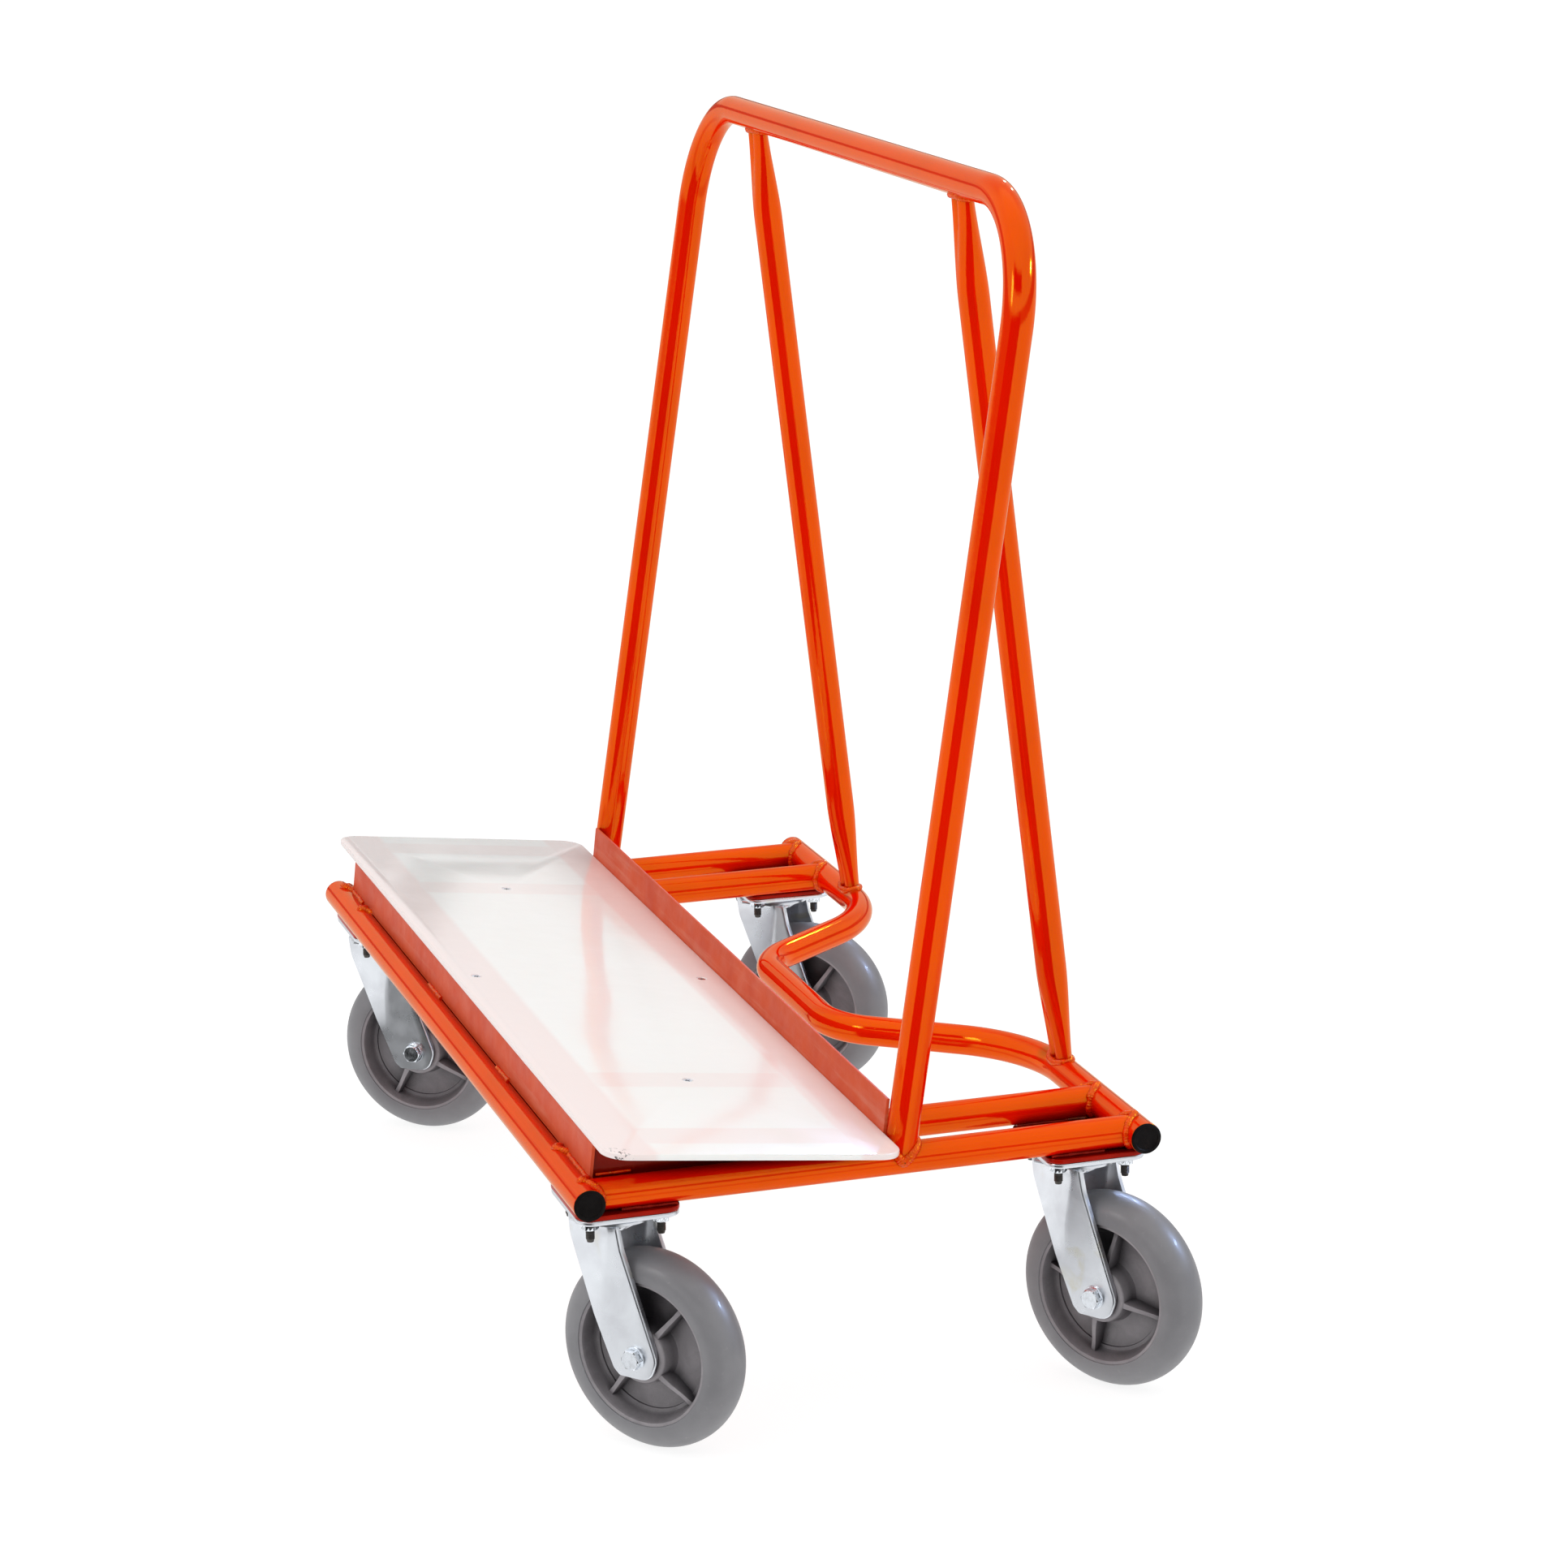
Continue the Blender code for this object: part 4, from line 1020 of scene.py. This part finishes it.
def threaded(radius, low, high, pitch=0.0015):
    """A rod with thread-like ridges and a chamfered lower end."""
    profile = [(0, high)]
    turns = int((high - low - 0.001) / pitch)
    for i in range(turns):
        z = high - i * pitch
        profile += [(radius, z - pitch * 0.25), (radius - 0.0006, z - pitch * 0.75)]
    profile += [(radius - 0.0012, low), (0, low)]
    return turned(profile, 20)


def mounting_plates(name, place):
    outline = rounded_rectangle(PLATE_LENGTH, PLATE_WIDTH, 0.016, 8)
    shape = dished(outline, MOUNTING_BOTTOM, MOUNTING_TOP, 0.0009)
    # Mounting plate in the plate finish, darker for the shade under the rails: painted shade
    piece(f"plate_mount_{name}", shape, "plate", stands_for=[f"mounting_plate_{name}"], matrix=place)

    outline = rounded_rectangle(PLATE_LENGTH - 0.001, PLATE_WIDTH - 0.001, 0.0155, 8)
    plate = dished(outline, TOP_PLATE_BOTTOM, TOP_PLATE_TOP, 0.0013)
    dome = turned(
        [
            (0, TOP_PLATE_BOTTOM + 0.002), (0.044, TOP_PLATE_BOTTOM + 0.002),
            (0.0435, TOP_PLATE_BOTTOM - 0.0008), (0.0405, TOP_PLATE_BOTTOM - 0.0032),
            (0.0385, TOP_PLATE_BOTTOM - 0.0062), (0.0365, RACEWAY_BOTTOM + 0.001),
            (0.0350, RACEWAY_BOTTOM), (0, RACEWAY_BOTTOM),
        ],
        56,
    )
    piece(f"caster_plate_{name}", join(plate, dome), "zinc", stands_for=[f"top_plate_{name}"], matrix=place)

    nuts, ends, heads = [], [], []
    for i, (sx, sy) in enumerate(((-1, -1), (-1, 1), (1, -1), (1, 1))):
        spot = Matrix.Translation((sx * STUD_X, sy * STUD_Y, 0)) @ Matrix.Rotation(0.5 * i + 0.3, 4, "Z")
        washer = disc((0.0098, TOP_PLATE_BOTTOM + 0.0003), (0.0100, TOP_PLATE_BOTTOM - 0.0014), 28)
        nut = hexagon(0.0175, TOP_PLATE_BOTTOM - 0.0092, TOP_PLATE_BOTTOM - 0.0014)
        nuts += [moved(washer, spot), moved(nut, spot)]
        ends.append(moved(threaded(0.0045, MOUNTING_BOTTOM - 0.0275, TOP_PLATE_BOTTOM - 0.005), spot))
        dome_profile = ((0, 0.0030), (0.0050, 0.0028), (0.0085, 0.0014), (0.0100, -0.0004), (0, -0.0004))
        head = turned([(r, MOUNTING_TOP + rise) for r, rise in dome_profile], 28)
        heads.append(moved(head, spot))
    piece(f"plate_nuts_{name}", join(*nuts), "bolt", matrix=place)
    piece(f"plate_bolt_ends_{name}", join(*ends), "thread", matrix=place)
    # Bolt heads in the plate finish, darker: painted shade
    piece(f"plate_bolt_heads_{name}", join(*heads), "plate", matrix=place)


def plate_welds(name, place, side_x, side_y, seed):
    """Beads where the tubes sit on a mounting plate."""
    shapes = []
    edge_x, edge_y = PLATE_LENGTH / 2, PLATE_WIDTH / 2
    centre = place.translation
    for x in (CROSS_OUTER_X, CROSS_INNER_X):
        offset = side_x * x - centre.x
        if abs(offset) > edge_x + 0.012:
            continue
        for flank in (-1, 1):
            across = offset + flank * 0.0085
            if abs(across) > edge_x - 0.002:
                continue
            y0 = -side_y * edge_y * 0.92
            y1 = side_y * edge_y * 0.15
            z = MOUNTING_TOP + 0.0012
            shapes.append(bead(straight((across, y0, z), (across, y1, z), 16), 0.0026, seed))
            seed += 1
    rail_y = side_y * REAR_Y - centre.y
    inner = rail_y - side_y * 0.0105
    z = MOUNTING_TOP + 0.0014
    shapes.append(bead(straight((-edge_x * 0.9, inner, z), (edge_x * 0.9, inner, z), 24), 0.0028, seed))
    # Beads on the plate in the plate finish, darker: painted shade
    piece(f"weld_plate_{name}", join(*shapes), "plate", matrix=place, sharp=WELD_SHARP)


AXLE_Z = WHEEL_R
# Corners of a fork leg seen square on, along the trail and up from the axle
LEG_CORNERS = (
    (-0.031, 0.1330), (-0.029, 0.108), (-0.0035, 0.036), (TRAIL - 0.025, -0.0145),
    (TRAIL - 0.018, -0.0212), (TRAIL + 0.018, -0.0212), (TRAIL + 0.0258, 0.0),
    (0.030, 0.106), (0.0245, 0.1330),
)
LEG_RADII = (0, 0.03, 0.05, 0.004, 0.005, 0.013, 0.015, 0.02, 0)
SHEET_T = 0.0034


def leg_edges(height, outline):
    """Where the leg's outline is cut at a height, as its leading and trailing positions."""
    found = []
    for a, b in zip(outline, outline[1:] + outline[:1]):
        if (a.y - height) * (b.y - height) <= 0 and abs(a.y - b.y) > 1e-9:
            t = (height - a.y) / (b.y - a.y)
            if 0 <= t <= 1:
                found.append(a.x + (b.x - a.x) * t)
    return min(found), max(found)


def leg_section(height, outline, columns=22):
    """The outside of one leg at a height, as (along, out), from its wrapped side to its turned-in edge."""
    lead, trail = leg_edges(height, outline)
    top = max(0.0, min(1.0, (height - 0.026) / 0.104))
    wrap = 0.0205 * top**1.35
    lead -= 0.79 * wrap
    crease = min(0.0085 + 0.145 * max(height - 0.070, 0), trail - 0.012)
    crease = max(crease, lead + 0.0008)
    fold_r = 0.0024
    fold_depth = 0.0064 * max(0.0, min(1.0, (height + 0.010) / 0.02))
    points = []
    for i in range(columns):
        q = 1 - i / (columns - 1)
        along = crease + (lead - crease) * q
        out = FORK_FACE - wrap * q**1.15
        points.append((along, out))
    flat_end = trail - fold_r
    for i in range(1, 7):
        points.append((crease + (flat_end - crease) * i / 6, FORK_FACE))
    for i in range(1, 6):
        angle = math.pi / 2 * i / 5
        points.append((flat_end + fold_r * math.sin(angle), FORK_FACE - fold_r * (1 - math.cos(angle))))
    deep = max(fold_depth, fold_r + 0.0005)
    points.append((trail, FORK_FACE - deep))
    return points


def inset(section, distance):
    """The section moved inwards by the sheet's thickness."""
    result = []
    last = len(section) - 1
    for i, (x, y) in enumerate(section):
        x0, y0 = section[max(i - 1, 0)]
        x1, y1 = section[min(i + 1, last)]
        dx, dy = x1 - x0, y1 - y0
        length = math.hypot(dx, dy)
        result.append((x + dy / length * distance, y - dx / length * distance))
    return result


def leg_shape(side):
    """One leg as a closed shell. side is 1 for the leg on the bolt head's side."""
    outline = rounded([Vector(c) for c in LEG_CORNERS], LEG_RADII, 8)
    low = min(p.y for p in outline) + 1e-5
    bend = 0.0065
    heights = [low, low + 0.0006, low + 0.0015, low + 0.003, low + 0.0045, low + 0.006]
    heights += [low + 0.008 + (0.1270 - low - 0.008) * i / 34 for i in range(35)]
    rings = []
    for height in heights:
        outside = leg_section(height, outline)
        within = inset(outside, SHEET_T)
        rings.append([Vector((x, -side * y, AXLE_Z + height)) for x, y in outside + list(reversed(within))])
    section = leg_section(heights[-1], outline)
    top_z = AXLE_Z + heights[-1]
    for i in range(1, 6):
        angle = math.pi / 2 * i / 5
        shrink = bend * 0.62 * (1 - math.cos(angle))
        rise = bend * 0.62 * math.sin(angle)
        outside = []
        for x, y in section:
            scale = 1 - shrink / max(math.hypot(x, y), 1e-6)
            outside.append((x * scale, y * scale))
        within = inset(outside, SHEET_T)
        rings.append([Vector((x, -side * y, top_z + rise)) for x, y in outside + list(reversed(within))])
    return loft(rings)


def crown_shape():
    """The disc that joins the legs under the raceway, cut flush with their faces."""
    face = FORK_FACE - 0.0012
    outline = []
    radius = 0.0450
    start = math.asin(face / radius)
    steps = 26
    for i in range(steps + 1):
        angle = math.pi - start + 2 * start * i / steps
        outline.append(Vector((radius * math.cos(angle), radius * math.sin(angle))))
    outline += rounded([Vector((0.020, -face)), Vector((0.029, -face + 0.006)), Vector((0.029, face - 0.006)),
                        Vector((0.020, face))], (0.006, 0.006, 0.006, 0.006), 5, closed=False)
    plate = dished([(p.x, p.y) for p in outline], CROWN_BOTTOM, CROWN_TOP, 0.0018)
    lip = turned([(0, CROWN_TOP - 0.001), (0.0395, CROWN_TOP - 0.001), (0.0395, CROWN_TOP + 0.0014),
                  (0.0370, CROWN_TOP + 0.0026), (0, CROWN_TOP + 0.0026)], 56)
    return join(plate, lip)


def fork(name, place):
    shape = join(leg_shape(1), leg_shape(-1), crown_shape())
    piece(f"caster_fork_{name}", shape, "zinc", f"swivel_{name}", [f"fork_{name}"], place, bevel=0.0005)


def kingpin(name, place):
    bottom = CROWN_BOTTOM - 0.0085
    nut = hexagon(0.026, bottom, CROWN_BOTTOM + 0.0002)
    washer = disc((0.0150, CROWN_BOTTOM + 0.0002), (0.0150, CROWN_BOTTOM - 0.0016), 36)
    end = disc((0.0068, bottom + 0.001), (0.0060, bottom - 0.0022), 28)
    shape = join(nut, washer, end)
    piece(f"kingpin_nut_{name}", shape, "bolt", "frame", [f"kingpin_{name}"], place)


SIDEWAYS = Matrix.Rotation(math.radians(90), 4, "X")  # local Z to the bolt head's side


def axle(name, place):
    body = f"swivel_{name}"
    centre = place @ Matrix.Translation((TRAIL, 0, AXLE_Z)) @ SIDEWAYS
    face = FORK_FACE + 0.0001
    washer = disc((0.0118, face), (0.0118, face + 0.0015), 40)
    head = hexagon(0.0215, face + 0.0012, face + 0.0088, 0.0016)
    shank = disc((0.0063, face + 0.001), (0.0063, -face - 0.004), 28)
    bolt = join(washer, head, shank)
    piece(f"axle_bolt_head_{name}", bolt, "bolt", body, [f"axle_bolt_{name}"], centre, bevel=0.0003)
    nut = hexagon(0.0215, -face - 0.0085, -face)
    flange = disc((0.0118, -face), (0.0118, -face - 0.0012), 40)
    piece(f"axle_lock_nut_{name}", join(nut, flange), "bolt", body, [f"axle_nut_{name}"], centre)
    rod = moved(threaded(0.0062, 0, 0.0120), Matrix.Translation((0, 0, -face - 0.0125)))
    piece(f"axle_thread_{name}", rod, "thread", body, matrix=centre)
    half = FORK_FACE - SHEET_T - 0.0002
    sleeve = turned([(0.0066, half), (0.0101, half), (0.0101, -half), (0.0066, -half)], 32)
    piece(f"axle_spacer_{name}", sleeve, "bolt", body, [f"axle_sleeve_{name}"], centre)


def tyre_shape():
    """The tyre's section, turned: a full round tread that narrows to a small lip at the hub."""
    centre = WHEEL_R - TREAD_R - FACET_SLACK
    drop = math.asin((centre - TYRE_BORE_R) / TREAD_R)
    profile = []
    steps = 36
    for i in range(steps + 1):
        angle = (math.pi / 2 + drop) * (1 - 2 * i / steps)
        reach = TREAD_R * (1 + 0.012 * math.sin(2 * angle) ** 2)
        profile.append((centre + reach * math.cos(angle), reach * math.sin(angle)))
    inner = [(TYRE_BORE_R - 0.0004, -0.0240), (TYRE_BORE_R - 0.0006, 0.0240)]
    return turned(profile + inner, 120)


def hub_shape():
    """Rim, dished web, boss and ribs."""
    rim_outer = TYRE_BORE_R - 0.0002
    half = [
        (0.0106, 0.0286), (0.0150, 0.0290), (0.0152, 0.0278), (0.0235, 0.0278), (0.0262, 0.0272),
        (0.0282, 0.0258), (0.0292, 0.0236), (0.0304, 0.0120), (0.0330, 0.0078), (0.0380, 0.0062),
        (0.0570, 0.0056), (0.0600, 0.0060), (0.0606, 0.0074), (0.0640, 0.0078), (0.0662, 0.0100),
        (0.0690, 0.0205), (0.0704, 0.0234), (0.0722, 0.0243), (rim_outer, 0.0243),
    ]
    profile = half + [(r, -z) for r, z in reversed(half)]
    shell = turned(profile, 96)
    ribs = []
    for k in range(4):
        turn = Matrix.Rotation(math.pi / 2 * k, 4, "Z")
        stations = ((0.0270, 0.0245, 0.0036), (0.0330, 0.0238, 0.0031), (0.0420, 0.0215, 0.0027),
                    (0.0560, 0.0172, 0.0025), (0.0690, 0.0150, 0.0029))
        for side in (1, -1):
            rings = []
            for along, height, half_t in stations:
                foot = half_t + 0.0012
                crest = half_t - 0.0005
                section = [(-foot, 0.003), (foot, 0.003), (half_t, height - 0.0012), (crest, height),
                           (-crest, height), (-half_t, height - 0.0012)]
                rings.append([Vector((along, y, side * z)) for y, z in section])
            ribs.append(moved(loft(rings), turn))
    return join(shell, *ribs)


def wheel(name, place):
    body = f"wheel_{name}"
    centre = place @ Matrix.Translation((TRAIL, 0, AXLE_Z)) @ SIDEWAYS
    piece(f"wheel_tyre_{name}", tyre_shape(), "tyre", body, [f"tyre_{name}"], centre, sharp=50)
    turned_hub = centre @ Matrix.Rotation(math.radians(HUB_TURN[name]), 4, "Z")
    piece(f"wheel_hub_{name}", hub_shape(), "hub", body, [f"hub_{name}"], turned_hub, sharp=32)


def casters():
    joints = {joint["name"]: joint for joint in frame["joints"]}
    for i, name in enumerate(CASTERS):
        swivel = Vector(joints[f"swivel_{name}"]["pos_m"]) - ORIGIN
        axle_centre = Vector(joints[f"spin_{name}"]["pos_m"]) - ORIGIN
        upright = Matrix.Translation((swivel.x, swivel.y, 0))
        heading = math.atan2(axle_centre.y - swivel.y, axle_centre.x - swivel.x)
        turned_place = upright @ Matrix.Rotation(heading, 4, "Z")
        mounting_plates(name, upright)
        plate_welds(name, upright, math.copysign(1, swivel.x), math.copysign(1, swivel.y), 200 + 20 * i)
        kingpin(name, upright)
        fork(name, turned_place)
        axle(name, turned_place)
        wheel(name, turned_place)


base_tubes()
hoop()
struts()
tube_welds()
end_caps()
front_angle()
rear_angle()
bearers_and_end_plates()
deck_sheet()
screws()
deck_welds()
casters()


# Camera, light and floor

CAMERA_SPOT = Vector((4.32985, -1.26351, 1.68540))
CAMERA_YAW = math.radians(72.58)
CAMERA_PITCH = math.radians(14.54)
CAMERA_ROLL = math.radians(-0.84)
CAMERA_LENS = 99.3

FLOOR_GLOW = 0.84
BACKDROP_GLOW = 1.05
BACKDROP_REACH = 60
# The world's levels by direction, and the dark gap between the softboxes, in degrees from the camera
GAP_MIDDLE = -18
GAP_HALF = 33
GAP_LEVEL = 0.02
WALL_LEVEL = 1.2
BACK_LEVEL = 0.80
CEILING_LEVEL = 1.3

LAMP_SPOTS = ((-2.4, 2.4, 2.8), (-2.75, 2.0, 2.8), (1.05, 3.5, 2.5), (1.5, 3.3, 2.5))
LAMP_POWER = 70
LAMP_COLOUR = (0.42, 0.58, 1.0)


def make_camera():
    data = bpy.data.cameras.new("camera")
    data.sensor_width = 36
    data.lens = CAMERA_LENS
    data.clip_start = 0.05
    data.clip_end = 200
    camera = bpy.data.objects.new("camera", data)
    right = Vector((math.cos(CAMERA_YAW), math.sin(CAMERA_YAW), 0))
    back = Vector(
        (
            math.sin(CAMERA_YAW) * math.cos(CAMERA_PITCH),
            -math.cos(CAMERA_YAW) * math.cos(CAMERA_PITCH),
            math.sin(CAMERA_PITCH),
        )
    )
    up = back.cross(right)
    c, s = math.cos(CAMERA_ROLL), math.sin(CAMERA_ROLL)
    rolled_right = right * c + up * s
    rolled_up = up * c - right * s
    rotation = Matrix((rolled_right, rolled_up, back)).transposed()
    camera.matrix_world = Matrix.Translation(CAMERA_SPOT + ORIGIN) @ rotation.to_4x4()
    bpy.context.scene.collection.objects.link(camera)
    bpy.context.scene.camera = camera


def area_light(name, spot, aim, width, height, power, colour=(1, 1, 1)):
    data = bpy.data.lights.new(name, "AREA")
    data.shape = "RECTANGLE"
    data.size, data.size_y = width, height
    data.energy = power
    data.color = colour
    light = bpy.data.objects.new(name, data)
    light.location = Vector(spot)
    light.rotation_euler = (Vector(aim) - Vector(spot)).to_track_quat("-Z", "Y").to_euler()
    bpy.context.scene.collection.objects.link(light)
    return light


def glowing(mesh, material_name, base, glow):
    """A matt, self-lit object of the stage, hidden from shiny parts."""
    material = bpy.data.materials.new(material_name)
    material.use_nodes = True
    inputs = material.node_tree.nodes["Principled BSDF"].inputs
    inputs["Base Color"].default_value = (base, base, base, 1)
    inputs["Roughness"].default_value = 0.95
    inputs["Specular IOR Level"].default_value = 0.0
    inputs["Emission Color"].default_value = (1, 1, 1, 1)
    inputs["Emission Strength"].default_value = glow
    mesh.materials.append(material)
    obj = bpy.data.objects.new(mesh.name, mesh)
    obj.visible_glossy = False
    bpy.context.scene.collection.objects.link(obj)
    return obj


def make_floor():
    """A pale floor that is lit from within, so that only a faint contact shadow shows on it."""
    made = bmesh.new()
    bmesh.ops.create_grid(made, x_segments=1, y_segments=1, size=90)
    mesh = bpy.data.meshes.new("floor")
    made.to_mesh(mesh)
    made.free()
    # Shiny parts mirror the studio beyond the pale sweep instead of the floor
    floor = glowing(mesh, "pale_floor", 0.25, FLOOR_GLOW)


def make_backdrop():
    """A far white wall all round, there for the camera alone."""
    rings = [circle(Vector((0, 0, z)), Vector((1, 0, 0)), Vector((0, 1, 0)), BACKDROP_REACH, sides=64)
             for z in (-0.5, BACKDROP_REACH)]
    verts, faces = loft(rings, capped=False)
    mesh = bpy.data.meshes.new("backdrop")
    mesh.from_pydata([tuple(v) for v in verts], [], faces)
    wall = glowing(mesh, "white_wall", 0, BACKDROP_GLOW)
    wall.visible_diffuse = False
    wall.visible_transmission = False
    wall.visible_shadow = False


def make_world():
    """White walls all round, with the dark gap between the two softboxes where the camera stands."""
    world = bpy.data.worlds.new("studio")
    world.use_nodes = True
    graph = Graph(world.node_tree)
    direction = graph.node("ShaderNodeTexCoord").outputs["Generated"]

    def dot(axis):
        made = graph.tree.nodes.new("ShaderNodeVectorMath")
        made.operation = "DOT_PRODUCT"
        graph.feed(made.inputs[0], direction)
        made.inputs[1].default_value = axis
        return made.outputs["Value"]

    def band(value, low, high, edge):
        rise = graph.range(value, low - edge, low + edge)
        fall = graph.range(value, high - edge, high + edge, 1.0, 0.0)
        return graph.math("MULTIPLY", rise, fall)

    def blend(factor, first, second):
        return graph.node("ShaderNodeMix", Factor=factor, A=first, B=second).outputs["Result"]

    ahead = (math.sin(CAMERA_YAW), -math.cos(CAMERA_YAW), 0)
    beside = (math.cos(CAMERA_YAW), math.sin(CAMERA_YAW), 0)
    around = graph.math("ARCTAN2", dot(beside), dot(ahead))
    height = dot((0, 0, 1))
    low, high = (math.radians(GAP_MIDDLE + sign * GAP_HALF) for sign in (-1, 1))
    gap = band(around, low, high, math.radians(4))
    dark_low = band(height, -0.60, 0.20, 0.03)
    dark_high = band(height, 0.46, 0.70, 0.04)
    gap = graph.math("MULTIPLY", gap, graph.math("MAXIMUM", dark_low, dark_high))
    back = graph.range(graph.math("ABSOLUTE", around), math.radians(120), math.radians(150))
    curtain = band(height, 0.03, 0.13, 0.02)
    back_level = blend(curtain, BACK_LEVEL, BACK_LEVEL * 0.25)
    sides = blend(band(height, 0.02, 0.24, 0.03), WALL_LEVEL, WALL_LEVEL * 0.22)
    sides = blend(band(height, -0.52, -0.36, 0.03), sides, WALL_LEVEL * 0.6)
    level = blend(back, sides, back_level)
    level = blend(gap, level, GAP_LEVEL)
    level = blend(graph.range(height, 0.72, 0.86), level, CEILING_LEVEL)
    background = graph.tree.nodes["Background"]
    background.inputs["Color"].default_value = (1, 1, 1, 1)
    graph.feed(background.inputs["Strength"], level)
    bpy.context.scene.world = world


make_camera()
make_floor()
make_backdrop()
make_world()
area_light("key", (1.6, -4.2, 3.2), (0, 0, 0.4), 1.0, 1.3, 24)
# Small lamps that make only glints
for i, spot in enumerate(LAMP_SPOTS):
    lamp = area_light(f"lamp_{i}", spot, (0, 0, 0.7), 0.055, 0.13, LAMP_POWER, LAMP_COLOUR)
    lamp.visible_diffuse = False
bpy.context.scene.view_settings.view_transform = "Standard"
